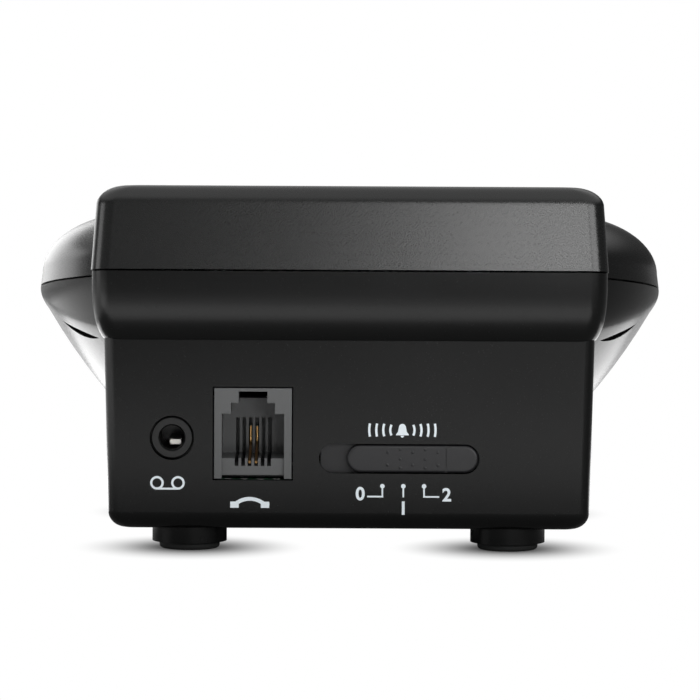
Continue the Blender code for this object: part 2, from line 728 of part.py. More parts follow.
def board_screw_holes():
    holes = Shape()
    top = MAIN_BOARD_BOTTOM - FIT
    for x, y in board_post_places()[:2]:
        profile = [(SMALL_HOLE_RADIUS, top - BOARD_POST_HOLE_DEPTH), (SMALL_HOLE_RADIUS, top + OVER)]
        holes.turned(profile, POST_SIDES, (x, y))
    return holes


def wall_openings():
    """Openings for the two modular jacks, the recording jack and the ringer knob."""
    openings = Shape()
    openings.block(
        (LINE_X - LINE_WIDTH / 2 - RUN, INNER_WALL_Y - OVER, PART_ON_BOARD - RUN),
        (LINE_X + LINE_WIDTH / 2 + RUN, WALL_Y + OVER, PART_ON_BOARD + LINE_HEIGHT + RUN),
    )
    half = HEADSET_WIDTH / 2 + RUN
    openings.block(
        (-BASE_HALF_WIDTH - OVER, HEADSET_Y - half, PART_ON_BOARD - RUN),
        (OVER - BASE_HALF_WIDTH + CASE_WALL, HEADSET_Y + half, PART_ON_BOARD + HEADSET_HEIGHT + RUN),
    )
    depths = (INNER_WALL_Y - OVER, WALL_Y + OVER)
    openings.loft([rec_ring(REC_HOLE_RADIUS, y) for y in depths])
    openings.loft([slot_ring(SLOT_X, SLOT_LENGTH, SLOT_HEIGHT, y) for y in depths])
    return openings


def rec_ring(radius, y):
    """A circle round the recording jack's axis, counter-clockwise seen from +Y."""
    ring = []
    for side in range(REC_SIDES):
        angle = 2 * math.pi * side / REC_SIDES
        ring.append((REC_X - radius * math.cos(angle), y, REC_Z + radius * math.sin(angle)))
    return ring


def slot_ring(x, length, height, y):
    """The ringer slot's outline round its own middle, counter-clockwise seen from +Y."""
    middle = Vector((x, 0, SLOT_Z))
    return [middle + Vector(point) for point in stadium(length / 2, height / 2, y)]


def cover_profile(wall, top_wall, low):
    """(radius, height) pairs of the round cover's outside, or with walls those of its hollow."""
    side = BODY_RADIUS - COVER_SIDE_DRAFT - wall
    profile = [(BODY_RADIUS - wall, low), (BODY_RADIUS - wall, 0), (side, COVER_SIDE_HEIGHT)]
    rise = COVER_TOP - top_wall - COVER_SIDE_HEIGHT
    for step in range(1, COVER_ROUND_STEPS + 1):
        angle = math.pi / 2 * step / COVER_ROUND_STEPS
        profile.append((side - COVER_ROUND * (1 - math.cos(angle)), COVER_SIDE_HEIGHT + rise * math.sin(angle)))
    return profile


def cover_round(profile, rear_inset):
    """The round cover, flat behind so that it ends in the block."""
    rear = (REAR_REACH - rear_inset) / math.cos(FACE_TILT)
    rings = []
    for radius, height in profile:
        rings.append([(x, min(y, rear), z) for x, y, z in circle(radius, height, BODY_SIDES)])
    return Shape().loft(rings).moved(FACE)


def block_ring(side_inset, rear_inset, height):
    return rounded(
        BLOCK_HALF_WIDTH - side_inset,
        REAR_Y - BLOCK_DEPTH + rear_inset,
        REAR_Y - rear_inset,
        BLOCK_CORNER,
        BLOCK_CORNER,
        height,
    )


def along_block_top(offset):
    """Heights that follow the block's own, flatter top."""
    return lambda y: BLOCK_TOP_Z + (y - REAR_Y) * math.tan(BLOCK_TOP_TILT) + offset


def block_shape():
    rings = [block_ring(0, 0, along_part(offset)) for offset in (-OVER, PART_GAP)]
    for inset_share, rise_share in reversed(list(fillet(1))):
        side = BLOCK_SIDE_DRAFT + BLOCK_EDGE_SIDE * inset_share
        rear = BLOCK_SIDE_DRAFT + BLOCK_EDGE_REAR * inset_share
        rings.append(block_ring(side, rear, along_block_top(-BLOCK_EDGE_HEIGHT * rise_share)))
    return Shape().loft(rings)


def block_hollow():
    wall = COVER_WALL + BLOCK_SIDE_DRAFT
    low = block_ring(COVER_WALL, COVER_WALL, along_part(-2 * OVER))
    high = block_ring(wall, wall, along_block_top(-BLOCK_EDGE_HEIGHT))
    top = block_ring(wall + BLOCK_EDGE_SIDE, wall + BLOCK_EDGE_REAR, along_block_top(-COVER_WALL))
    return Shape().loft([low, high, top])


def top_cover(surface):
    """Round cover and raised block in one moulding, with the recess for the face plate."""
    cover = cover_round(cover_profile(0, 0, -OVER), COVER_WALL / 2).build("top_cover", surface)
    join(cover, block_shape(), "block")
    cut(cover, cover_round(cover_profile(COVER_WALL, COVER_TOP_WALL, -2 * OVER), 2 * COVER_WALL), "round")
    cut(cover, block_hollow(), "block")
    recess = [(PLATE_RADIUS + RUN, PLATE_BOTTOM - FIT), (PLATE_RADIUS + RUN, COVER_TOP + OVER)]
    cut(cover, Shape().turned(recess, PLATE_SIDES, (0, PLATE_ROW)).moved(FACE), "recess")
    window = [(WINDOW_RADIUS, COVER_TOP - COVER_TOP_WALL - OVER), (WINDOW_RADIUS, COVER_TOP)]
    cut(cover, Shape().turned(window, PLATE_SIDES, (0, PLATE_ROW)).moved(FACE), "window")
    posts = Shape()
    for x, y in CASE_SCREWS.values():
        profile = [(COVER_POST_RADIUS, along_part(-OVER)), (COVER_POST_RADIUS, along_part(COVER_POST_LENGTH))]
        posts.turned(profile, POST_SIDES, (x, y))
    join(cover, posts, "posts")
    half = 2 * BODY_RADIUS
    below = Shape().block((-half, -half, -PART_Z), (half, half, PART_GAP)).moved(FACE)
    cut(cover, below, "part")
    pilots = Shape()
    for x, y in CASE_SCREWS.values():
        profile = [(SCREW_HOLE_RADIUS, along_part(-OVER)), (SCREW_HOLE_RADIUS, along_part(cover_pilot_depth()))]
        pilots.turned(profile, POST_SIDES, (x, y))
    cut(cover, pilots, "pilots")
    return cover


def cover_pilot_depth():
    """The pilot hole runs just past the tip of its screw."""
    return CASE_SCREW_LENGTH - CASE_POST_SEAT + FIT


def key_outlines():
    """(name, x, row, half width, half height, corner) of each key."""
    keys = []
    for row, names in enumerate(DIGIT_ROWS):
        for column, name in enumerate(names):
            x = (column - 1) * COLUMN_PITCH
            y = FIRST_ROW - row * ROW_PITCH
            keys.append((f"key_{name}", x, y, DIGIT_HALF_WIDTH, DIGIT_HALF_HEIGHT, DIGIT_CORNER))
    side = (SIDE_KEY_HALF_WIDTH, SIDE_KEY_HALF_HEIGHT, SIDE_KEY_CORNER)
    keys.append(("flash_key", -SIDE_KEY_X, SIDE_KEY_ROW, *side))
    keys.append(("redial_key", -SIDE_KEY_X, -SIDE_KEY_ROW, *side))
    keys.append(("mute_key", SIDE_KEY_X, -SIDE_KEY_ROW, *side))
    talk = (TALK_KEY_HALF_WIDTH, TALK_KEY_HALF_HEIGHT, TALK_KEY_CORNER)
    keys.append(("talk_key", 0, TALK_KEY_ROW, *talk))
    return keys


def key_ring(half_width, half_height, corner, grow, height):
    radius = corner + grow
    return rounded(
        half_width + grow,
        -half_height - grow,
        half_height + grow,
        radius,
        radius,
        level(height),
        KEY_CORNER_STEPS,
    )


def key(name, x, row, half_width, half_height, corner, surface):
    """A key cap, held under the face plate by its flange."""
    top = PLATE_TOP + KEY_PROUD
    flange_top = PLATE_BOTTOM - FIT
    outline = (half_width, half_height, corner)
    rings = [
        key_ring(*outline, KEY_FLANGE, FLANGE_BOTTOM),
        key_ring(*outline, KEY_FLANGE, flange_top),
        key_ring(*outline, 0, flange_top),
        key_ring(*outline, 0, top - KEY_EDGE),
        key_ring(*outline, -KEY_EDGE / 3, top - KEY_EDGE / 3),
        key_ring(*outline, -KEY_EDGE, top),
    ]
    place = FACE @ Matrix.Translation((x, row, 0))
    made = Shape().loft(rings).moved(place).build(name, surface)
    set_origin(made, place @ Matrix.Translation((0, 0, top)))
    return made


def face_plate(surface):
    """Round plate with a hole for each key, the lamp and the wheel, and two posts that carry the key board."""
    profile = [(PLATE_RADIUS, PLATE_BOTTOM), (PLATE_RADIUS, PLATE_TOP)]
    plate = Shape().turned(profile, PLATE_SIDES, (0, PLATE_ROW)).moved(FACE).build("face_plate", surface)
    holes = Shape()
    for _, x, row, half_width, half_height, corner in key_outlines():
        rings = [
            key_ring(half_width, half_height, corner, KEY_GAP, z)
            for z in (PLATE_BOTTOM - OVER, PLATE_TOP + OVER)
        ]
        holes.loft([[Vector(point) + Vector((x, row, 0)) for point in ring] for ring in rings])
    lamp = [(LENS_RADIUS + RUN, PLATE_BOTTOM - OVER), (LENS_RADIUS + RUN, PLATE_TOP + OVER)]
    holes.turned(lamp, POST_SIDES, (0, LAMP_ROW))
    slot = wheel_slot_half_length()
    holes.block(
        (WHEEL_X - WHEEL_WIDTH / 2 - FIT, WHEEL_ROW - slot, PLATE_BOTTOM - OVER),
        (WHEEL_X + WHEEL_WIDTH / 2 + FIT, WHEEL_ROW + slot, PLATE_TOP + OVER),
    )
    cut(plate, holes.moved(FACE), "holes")
    posts = Shape()
    for place in PLATE_POSTS:
        profile = [(PLATE_POST_RADIUS, KEY_BOARD_TOP + FIT), (PLATE_POST_RADIUS, PLATE_BOTTOM + SINK)]
        posts.turned(profile, POST_SIDES, place)
    join(plate, posts.moved(FACE), "posts")
    pilots = Shape()
    depth = SMALL_SCREW_LENGTH - KEY_BOARD_THICKNESS
    for place in PLATE_SCREWS:
        profile = [(SMALL_HOLE_RADIUS, KEY_BOARD_TOP - OVER), (SMALL_HOLE_RADIUS, KEY_BOARD_TOP + depth)]
        pilots.turned(profile, POST_SIDES, place)
    cut(plate, pilots.moved(FACE), "pilots")
    return plate


def wheel_slot_half_length():
    """Half of the chord that the wheel makes in the plate's lower face, with its clearance."""
    drop = PLATE_BOTTOM - WHEEL_HEIGHT
    return math.sqrt(WHEEL_RADIUS**2 - drop**2) + FIT


def notch_shape():
    """Where the key mat and the key board leave room for the wheel and its potentiometer."""
    inner = WHEEL_X - WHEEL_WIDTH / 2 - FIT - POT_THICKNESS - NOTCH_MARGIN
    return Shape().block(
        (inner, WHEEL_ROW - WHEEL_RADIUS - NOTCH_MARGIN, 0),
        (PLATE_RADIUS, WHEEL_ROW + WHEEL_RADIUS + NOTCH_MARGIN, PLATE_TOP),
    )


def key_mat(surface):
    """Silicone sheet with one dome under each key."""
    bottom = MAT_TOP - MAT_THICKNESS
    profile = [(MAT_RADIUS, bottom), (MAT_RADIUS, MAT_TOP)]
    mat = Shape().turned(profile, PLATE_SIDES, (0, PLATE_ROW)).moved(FACE).build("key_mat", surface)
    domes = Shape()
    for _, x, row, *_ in key_outlines():
        profile = [
            (DOME_FOOT_RADIUS, MAT_TOP - SINK),
            (DOME_FOOT_RADIUS, MAT_TOP + SINK),
            (DOME_TOP_RADIUS, MAT_TOP + DOME_HEIGHT),
        ]
        domes.turned(profile, DOME_SIDES, (x, row))
    join(mat, domes.moved(FACE), "domes")
    cut(mat, notch_shape().moved(FACE), "notch")
    holes = Shape()
    for place in PLATE_POSTS:
        profile = [(PLATE_POST_RADIUS + FIT, bottom - OVER), (PLATE_POST_RADIUS + FIT, MAT_TOP + OVER)]
        holes.turned(profile, POST_SIDES, place)
    lamp = [(LAMP_BASE_RADIUS + FIT, bottom - OVER), (LAMP_BASE_RADIUS + FIT, MAT_TOP + OVER)]
    holes.turned(lamp, POST_SIDES, (0, LAMP_ROW))
    cut(mat, holes.moved(FACE), "holes")
    return mat


def key_board(surface):
    profile = [(KEY_BOARD_RADIUS, KEY_BOARD_BOTTOM), (KEY_BOARD_RADIUS, KEY_BOARD_TOP)]
    board = Shape().turned(profile, PLATE_SIDES, (0, PLATE_ROW)).moved(FACE).build("key_board", surface)
    cut(board, notch_shape().moved(FACE), "notch")
    holes = Shape()
    for place in PLATE_SCREWS:
        profile = [(SMALL_HOLE_RADIUS, KEY_BOARD_BOTTOM - OVER), (SMALL_HOLE_RADIUS, KEY_BOARD_TOP + OVER)]
        holes.turned(profile, POST_SIDES, place)
    cut(board, holes.moved(FACE), "holes")
    return board


def line_lamp(surface):
    """Light-emitting diode that stands on the key board, with its dome under the lens."""
    bottom = KEY_BOARD_TOP + FIT
    top = PLATE_BOTTOM - LENS_FLANGE_HEIGHT - 2 * FIT
    profile = [
        (LAMP_BASE_RADIUS, bottom),
        (LAMP_BASE_RADIUS, bottom + LAMP_BASE_HEIGHT),
        (LAMP_RADIUS, bottom + LAMP_BASE_HEIGHT),
        (LAMP_RADIUS, top - LAMP_RADIUS / 2),
        (LAMP_RADIUS * 0.8, top - LAMP_RADIUS / 6),
        (LAMP_RADIUS * 0.4, top),
    ]
    return Shape().turned(profile, POST_SIDES, (0, LAMP_ROW)).moved(FACE).build("line_lamp", surface)


def lamp_lens(surface):
    bottom = PLATE_BOTTOM - FIT - LENS_FLANGE_HEIGHT
    profile = [
        (LENS_RADIUS + LENS_FLANGE, bottom),
        (LENS_RADIUS + LENS_FLANGE, PLATE_BOTTOM - FIT),
        (LENS_RADIUS, PLATE_BOTTOM - FIT),
        (LENS_RADIUS, PLATE_TOP),
        (LENS_RADIUS * 0.6, PLATE_TOP + LENS_PROUD),
    ]
    return Shape().turned(profile, POST_SIDES, (0, LAMP_ROW)).moved(FACE).build("lamp_lens", surface)


def wheel_place():
    """The wheel's axle runs across the face, along X."""
    return FACE @ Matrix.Translation((WHEEL_X, WHEEL_ROW, WHEEL_HEIGHT)) @ Matrix.Rotation(math.pi / 2, 4, "Y")


def wheel_ring(height):
    ring = []
    for tooth in range(2 * WHEEL_TEETH):
        angle = math.pi * tooth / WHEEL_TEETH
        radius = WHEEL_RADIUS - WHEEL_TOOTH_DEPTH * (tooth % 2)
        ring.append((radius * math.cos(angle), radius * math.sin(angle), height))
    return ring


def volume_wheel(surface):
    """Knurled wheel with a short axle that turns in the potentiometer."""
    rim = WHEEL_WIDTH / 2
    wheel = Shape().loft([wheel_ring(-rim), wheel_ring(rim)]).moved(wheel_place()).build("volume_wheel", surface)
    axle = [(AXLE_RADIUS, -rim - AXLE_LENGTH), (AXLE_RADIUS, SINK - rim)]
    join(wheel, Shape().turned(axle, POST_SIDES).moved(wheel_place()), "axle")
    for made in (wheel, bpy.data.objects["volume_wheel_axle_joined"]):
        set_origin(made, wheel_place())
    return wheel


def volume_pot(surface):
    """Potentiometer beside the wheel, soldered into the key board's notch."""
    face_x = WHEEL_X - WHEEL_WIDTH / 2 - FIT
    body = Shape().block(
        (face_x - POT_THICKNESS, WHEEL_ROW - POT_HALF_LENGTH, WHEEL_HEIGHT - POT_DROP),
        (face_x, WHEEL_ROW + POT_HALF_LENGTH, WHEEL_HEIGHT + POT_RISE),
    )
    pot = body.moved(FACE).build("volume_pot", surface)
    reach = WHEEL_WIDTH / 2 + AXLE_LENGTH + RUN
    bore = [(AXLE_RADIUS + AXLE_PLAY, -reach), (AXLE_RADIUS + AXLE_PLAY, 0)]
    cut(pot, Shape().turned(bore, POST_SIDES).moved(wheel_place()), "bore")
    return pot


def screw_profile(head_radius, head_height, radius, length):
    """A pan-head screw that points along +Z, with the underside of its head at zero."""
    return [
        (head_radius * 0.72, -head_height),
        (head_radius, -head_height * 0.55),
        (head_radius, 0),
        (radius, 0),
        (radius, length - radius),
        (radius * 0.4, length),
    ]


def case_screw(name, x, y, surface):
    seat = Vector((x, y, along_part(-CASE_POST_SEAT - FIT)(y - SCREW_HEAD_RADIUS)))
    profile = screw_profile(SCREW_HEAD_RADIUS, SCREW_HEAD_HEIGHT, SCREW_RADIUS, CASE_SCREW_LENGTH)
    return Shape().turned(profile, POST_SIDES).moved(Matrix.Translation(seat)).build(name, surface)


def board_screw(name, place, surface):
    profile = screw_profile(SMALL_HEAD_RADIUS, SMALL_HEAD_HEIGHT, SMALL_SCREW_RADIUS, SMALL_SCREW_LENGTH)
    return Shape().turned(profile, POST_SIDES).moved(place).build(name, surface)


def main_board(surface):
    low = (-MAIN_BOARD_HALF_WIDTH, MAIN_BOARD_FRONT_Y, MAIN_BOARD_BOTTOM)
    high = (MAIN_BOARD_HALF_WIDTH, MAIN_BOARD_REAR_Y, MAIN_BOARD_TOP)
    board = Shape().block(low, high).build("main_board", surface)
    holes = Shape()
    for x, y in board_post_places()[:2]:
        profile = [(SMALL_HOLE_RADIUS, MAIN_BOARD_BOTTOM - OVER), (SMALL_HOLE_RADIUS, MAIN_BOARD_TOP + OVER)]
        holes.turned(profile, POST_SIDES, (x, y))
    cut(board, holes, "holes")
    return board


class Jack:
    """Sizes of one modular jack, measured from the middle of its face and its underside."""

    def __init__(self, width, height, floor, mouth, step, latch, ways, place):
        self.width = width
        self.height = height
        self.floor = floor
        self.mouth_width, self.mouth_height = mouth
        self.step_width, self.step_height = step
        self.latch_width, self.latch_height = latch
        self.ways = ways
        self.place = place

    def contact_x(self, way):
        return (way - (self.ways - 1) / 2) * CONTACT_PITCH

    def mouth_outline(self, bottom, depth):
        """The plug opening with its latch steps, counter-clockwise seen from outside."""
        mouth_top = self.floor + self.mouth_height
        step_top = mouth_top + self.step_height
        right = [
            (self.mouth_width / 2, bottom),
            (self.mouth_width / 2, mouth_top),
            (self.step_width / 2, mouth_top),
            (self.step_width / 2, step_top),
            (self.latch_width / 2, step_top),
            (self.latch_width / 2, step_top + self.latch_height),
        ]
        left = [(-x, z) for x, z in reversed(right)]
        return [(-x, depth, z) for x, z in right + left]


def line_jack_sizes():
    return Jack(
        LINE_WIDTH,
        LINE_HEIGHT,
        LINE_FLOOR,
        (LINE_MOUTH_WIDTH, LINE_MOUTH_HEIGHT),
        (LINE_STEP_WIDTH, LINE_STEP_HEIGHT),
        (LINE_LATCH_WIDTH, LINE_LATCH_HEIGHT),
        6,
        Matrix.Translation((LINE_X, WALL_Y - JACK_SET_BACK, PART_ON_BOARD)),
    )


def headset_jack_sizes():
    side = -base_half_width(PART_ON_BOARD) + JACK_SET_BACK
    return Jack(
        HEADSET_WIDTH,
        HEADSET_HEIGHT,
        HEADSET_FLOOR,
        (HEADSET_MOUTH_WIDTH, HEADSET_MOUTH_HEIGHT),
        (HEADSET_STEP_WIDTH, HEADSET_STEP_HEIGHT),
        (HEADSET_LATCH_WIDTH, HEADSET_LATCH_HEIGHT),
        4,
        Matrix.Translation((side, HEADSET_Y, PART_ON_BOARD)) @ Matrix.Rotation(math.pi / 2, 4, "Z"),
    )


def modular_jack(name, sizes, surface):
    """Housing with a stepped plug opening, a comb of contact slots in its floor and slots up its back."""
    body = Shape().block((-sizes.width / 2, -JACK_DEPTH, 0), (sizes.width / 2, 0, sizes.height))
    jack = body.moved(sizes.place).build(name, surface)
    mouth = [sizes.mouth_outline(sizes.floor, depth) for depth in (-JACK_CAVITY, OVER)]
    cut(jack, Shape().loft(mouth).moved(sizes.place), "mouth")
    half = sizes.mouth_width / 2
    lip = Shape().block((-half, -JACK_LIP_SET, -OVER), (half, OVER, sizes.floor + OVER))
    cut(jack, lip.moved(sizes.place), "lip")
    gap = Shape().block((-half, -JACK_GAP_DEPTH, -OVER), (half, 0, JACK_GAP_HEIGHT))
    cut(jack, gap.moved(sizes.place), "gap")
    floor_slots = Shape()
    back_slots = Shape()
    low = sizes.floor - CONTACT_SLOT_DEPTH
    for way in range(sizes.ways):
        x = sizes.contact_x(way)
        near = x - CONTACT_SLOT / 2
        far = x + CONTACT_SLOT / 2
        floor_slots.block((near, RUN - JACK_CAVITY, low), (far, 0, sizes.floor + OVER))
        rise = sizes.floor + JACK_BACK_RISE
        back_slots.block((near, -JACK_CAVITY - JACK_BACK_SLOT, low), (far, 2 * RUN - JACK_CAVITY, rise))
    cut(jack, floor_slots.moved(sizes.place), "floor_slots")
    cut(jack, back_slots.moved(sizes.place), "back_slots")
    return jack


def contact_wire(name, sizes, way, surface):
    """Gilt spring wire that lies in its slot, rises over the floor and turns up the back."""
    floor = sizes.floor
    back = JACK_CAVITY + WIRE_BACK_IN
    path = [
        (-WIRE_START, floor - CONTACT_SLOT_DEPTH / 2),
        (-JACK_CAVITY * 0.3, floor),
        (-JACK_CAVITY * 0.6, floor + WIRE_RISE * 0.6),
        (-JACK_CAVITY, floor + WIRE_RISE),
        (-back, floor + WIRE_RISE * 1.6),
        (-back, floor + WIRE_TAIL),
    ]
    x = sizes.contact_x(way)
    rings = []
    for index, (y, z) in enumerate(path):
        before = path[max(index - 1, 0)]
        after = path[min(index + 1, len(path) - 1)]
        heading = Vector((0, after[0] - before[0], after[1] - before[1])).normalized()
        across = heading.cross(Vector((1, 0, 0)))
        ring = []
        for side in range(WIRE_SIDES):
            angle = 2 * math.pi * side / WIRE_SIDES
            spoke = Vector((1, 0, 0)) * math.cos(angle) + across * math.sin(angle)
            ring.append(Vector((x, y, z)) + CONTACT_WIRE_RADIUS * spoke)
        rings.append(ring)
    return Shape().loft(rings).moved(sizes.place).build(name, surface)


def rec_jack(surface):
    """Body on the main board with a round collar through the wall and a bore for the plug."""
    front = INNER_WALL_Y - FIT
    low = (REC_X - REC_HALF_WIDTH, front - REC_BODY_DEPTH, PART_ON_BOARD)
    high = (REC_X + REC_HALF_WIDTH, front, PART_ON_BOARD + REC_BODY_HEIGHT)
    jack = Shape().block(low, high).build("rec_jack", surface)
    face = WALL_Y - REC_SET_BACK
    join(jack, Shape().loft([rec_ring(REC_COLLAR_RADIUS, y) for y in (front - OVER, face)]), "collar")
    bore_end = face - REC_BORE_DEPTH
    cut(jack, Shape().loft([rec_ring(REC_BORE_RADIUS, y) for y in (bore_end, face + OVER)]), "bore")
    middle = REC_X - REC_CONTACT_SIDE
    half = REC_CONTACT_WIDTH / 2 + RUN
    z = REC_Z - REC_CONTACT_LOW
    tail = Shape().block(
        (middle - half, front - REC_BODY_DEPTH - OVER, z - RUN),
        (middle + half, bore_end + OVER, z + REC_CONTACT_THICKNESS + RUN),
    )
    cut(jack, tail, "tail")
    return jack


def rec_contact(surface):
    """Leaf spring that comes in through the back of the jack and rises towards its mouth."""
    middle = REC_X - REC_CONTACT_SIDE
    back = INNER_WALL_Y - FIT - REC_BODY_DEPTH - REC_CONTACT_TAIL
    front = WALL_Y - REC_SET_BACK - REC_CONTACT_SET_BACK
    bore_end = WALL_Y - REC_SET_BACK - REC_BORE_DEPTH
    z = REC_Z - REC_CONTACT_LOW
    halfway = (bore_end + front) / 2
    places = ((back, z), (bore_end, z), (halfway, z + REC_CONTACT_RISE * 0.8), (front, z + REC_CONTACT_RISE))
    low_x = middle - REC_CONTACT_WIDTH / 2
    high_x = middle + REC_CONTACT_WIDTH / 2
    rings = []
    for y, height in places:
        top = height + REC_CONTACT_THICKNESS
        rings.append([(high_x, y, height), (low_x, y, height), (low_x, y, top), (high_x, y, top)])
    return Shape().loft(rings).build("rec_contact", surface)


def ringer_slider(surface):
    """Slide knob: a long pad in the slot, on a plate behind the wall with a fork that holds the switch's lever."""
    height = SLOT_HEIGHT - 2 * RUN
    rings = [slot_ring(KNOB_X, KNOB_LENGTH, height, y) for y in (KNOB_PLATE_REAR_Y - SINK, WALL_Y + KNOB_PROUD)]
    knob = Shape().loft(rings).build("ringer_slider", surface)
    plate = Shape().block(
        (KNOB_PLATE_LOW_X, KNOB_PLATE_FRONT_Y, SLOT_Z - KNOB_PLATE_HEIGHT / 2),
        (KNOB_PLATE_HIGH_X, KNOB_PLATE_REAR_Y, SLOT_Z + KNOB_PLATE_HEIGHT / 2),
    )
    join(knob, plate, "plate")
    fork = Shape()
    inner = LEVER_WIDTH / 2 + FORK_GAP
    for low in (KNOB_X - inner - FORK_WALL, KNOB_X + inner):
        fork.block(
            (low, KNOB_PLATE_FRONT_Y - FORK_REACH, SLOT_Z - LEVER_HEIGHT / 2),
            (low + FORK_WALL, KNOB_PLATE_FRONT_Y + SINK, SLOT_Z + LEVER_HEIGHT / 2),
        )
    join(knob, fork, "fork")
    origin = Matrix.Translation((KNOB_X, WALL_Y, SLOT_Z))
    joined = [bpy.data.objects[f"ringer_slider_{name}_joined"] for name in ("plate", "fork")]
    for made in (knob, *joined):
        set_origin(made, origin)
    return knob


def ringer_switch(surface):
    """Slide switch on the main board. Its lever's pocket is as long as the travel."""
    low = (SWITCH_X - SWITCH_HALF_LENGTH, SWITCH_REAR_Y - SWITCH_DEPTH, PART_ON_BOARD)
    high = (SWITCH_X + SWITCH_HALF_LENGTH, SWITCH_REAR_Y, PART_ON_BOARD + SWITCH_HEIGHT)
    switch = Shape().block(low, high).build("ringer_switch", surface)
    half = (LEVER_WIDTH + KNOB_TRAVEL) / 2 + RUN
    pocket = Shape().block(
        (SWITCH_X - half, SWITCH_REAR_Y - SWITCH_POCKET, SLOT_Z - LEVER_HEIGHT / 2 - RUN),
        (SWITCH_X + half, SWITCH_REAR_Y + OVER, SLOT_Z + LEVER_HEIGHT / 2 + RUN),
    )
    cut(switch, pocket, "pocket")
    return switch


def ringer_lever(surface):
    origin = Matrix.Translation((KNOB_X, SWITCH_REAR_Y, SLOT_Z))
    low = (-LEVER_WIDTH / 2, RUN - SWITCH_POCKET, -LEVER_HEIGHT / 2)
    high = (LEVER_WIDTH / 2, KNOB_PLATE_FRONT_Y - SWITCH_REAR_Y - FIT, LEVER_HEIGHT / 2)
    made = Shape().block(low, high).build("ringer_lever", surface)
    made.matrix_world = origin
    return made


def line_transformer(surface):
    """Laminated core with its coil through it, on the main board."""
    low = (TRANSFORMER_X - TRANSFORMER_HALF_LENGTH, TRANSFORMER_Y - TRANSFORMER_HALF_WIDTH, PART_ON_BOARD)
    high = (
        TRANSFORMER_X + TRANSFORMER_HALF_LENGTH,
        TRANSFORMER_Y + TRANSFORMER_HALF_WIDTH,
        PART_ON_BOARD + TRANSFORMER_HEIGHT,
    )
    core = Shape().block(low, high).build("line_transformer", surface)
    coil = Shape().block(
        (TRANSFORMER_X - COIL_HALF_LENGTH, TRANSFORMER_Y - COIL_HALF_WIDTH, PART_ON_BOARD + COIL_MARGIN),
        (
            TRANSFORMER_X + COIL_HALF_LENGTH,
            TRANSFORMER_Y + COIL_HALF_WIDTH,
            PART_ON_BOARD + TRANSFORMER_HEIGHT - COIL_MARGIN,
        ),
    )
    join(core, coil, "coil")
    return core


def capacitor(surface):
    """Electrolytic can with the rolled groove over its seal."""
    z = PART_ON_BOARD
    profile = [
        (CAPACITOR_RADIUS - CAPACITOR_GROOVE, z),
        (CAPACITOR_RADIUS, z + CAPACITOR_GROOVE),
        (CAPACITOR_RADIUS, z + CAPACITOR_GROOVE_RISE),
        (CAPACITOR_RADIUS - CAPACITOR_GROOVE, z + CAPACITOR_GROOVE_RISE + CAPACITOR_GROOVE),
        (CAPACITOR_RADIUS, z + CAPACITOR_GROOVE_RISE + 2 * CAPACITOR_GROOVE),
        (CAPACITOR_RADIUS, z + CAPACITOR_HEIGHT - CAPACITOR_GROOVE),
        (CAPACITOR_RADIUS - CAPACITOR_GROOVE, z + CAPACITOR_HEIGHT),
    ]
    return Shape().turned(profile, CAPACITOR_SIDES, (CAPACITOR_X, CAPACITOR_Y)).build("capacitor", surface)


def dial_chip(surface):
    middle = Matrix.Translation((CHIP_X, CHIP_Y, PART_ON_BOARD))
    rings = []
    for inset, height in ((CHIP_ROUND, 0), (0, CHIP_HEIGHT / 2), (CHIP_ROUND, CHIP_HEIGHT)):
        half_length = CHIP_HALF_LENGTH - inset
        half_width = CHIP_HALF_WIDTH - inset
        rings.append(rectangle((-half_length, -half_width), (half_length, half_width), height))
    return Shape().loft(rings).moved(middle).build("dial_chip", surface)


def sounder(surface):
    """Piezo sounder in its round cup, glued to the floor of the base, with its port on top."""
    z = BASE_Z + CASE_WALL + FIT
    profile = [
        (SOUNDER_RADIUS, z),
        (SOUNDER_RADIUS, z + SOUNDER_HEIGHT - SOUNDER_EDGE),
        (SOUNDER_RADIUS - SOUNDER_EDGE, z + SOUNDER_HEIGHT),
    ]
    cup = Shape().turned(profile, 2 * POST_SIDES, (0, SOUNDER_Y)).build("sounder", surface)
    top = z + SOUNDER_HEIGHT
    port = [(SOUNDER_PORT_RADIUS, top - SOUNDER_PORT_DEPTH), (SOUNDER_PORT_RADIUS, top + OVER)]
    cut(cup, Shape().turned(port, POST_SIDES, (0, SOUNDER_Y)), "port")
    return cup


def ribbon_cable(surface):
    """Flat cable from the main board's front edge up to the key board, in one forward bow."""
    start = Vector((RIBBON_X, MAIN_BOARD_FRONT_Y + RIBBON_LEAD, PART_ON_BOARD))
    end = face_point(RIBBON_X, RIBBON_ROW, KEY_BOARD_BOTTOM - FIT)
    half = Vector((RIBBON_HALF_WIDTH, 0, 0))
    rings = []
    for step in range(RIBBON_STEPS + 1):
        share = step / RIBBON_STEPS
        bow = math.sin(math.pi * share) ** 2
        middle = start.lerp(end, share) - Vector((0, RIBBON_SAG * bow, 0))
        front = middle - Vector((0, RIBBON_THICKNESS / 2, 0))
        rear = middle + Vector((0, RIBBON_THICKNESS / 2, 0))
        rings.append([front - half, front + half, rear + half, rear - half])
    return Shape().loft(rings).build("ribbon_cable", surface)


def foot_pad(name, place, surface):
    profile = [
        (PAD_RADIUS - PAD_ROUND, 0),
        (PAD_RADIUS, PAD_ROUND),
        (PAD_RADIUS, PAD_DROP + PAD_SEAT),
    ]
    return Shape().turned(profile, 2 * POST_SIDES, place).build(name, surface)


def key_board_screw_place(x, row):
    """The key board's screws point up through it into the face plate's posts."""
    return FACE @ Matrix.Translation((x, row, KEY_BOARD_BOTTOM - FIT))


def main_board_screw_place(x, y):
    """The main board's screws point down into the case's posts."""
    return Matrix.Translation((x, y, MAIN_BOARD_TOP + FIT)) @ Matrix.Rotation(math.pi, 4, "X")


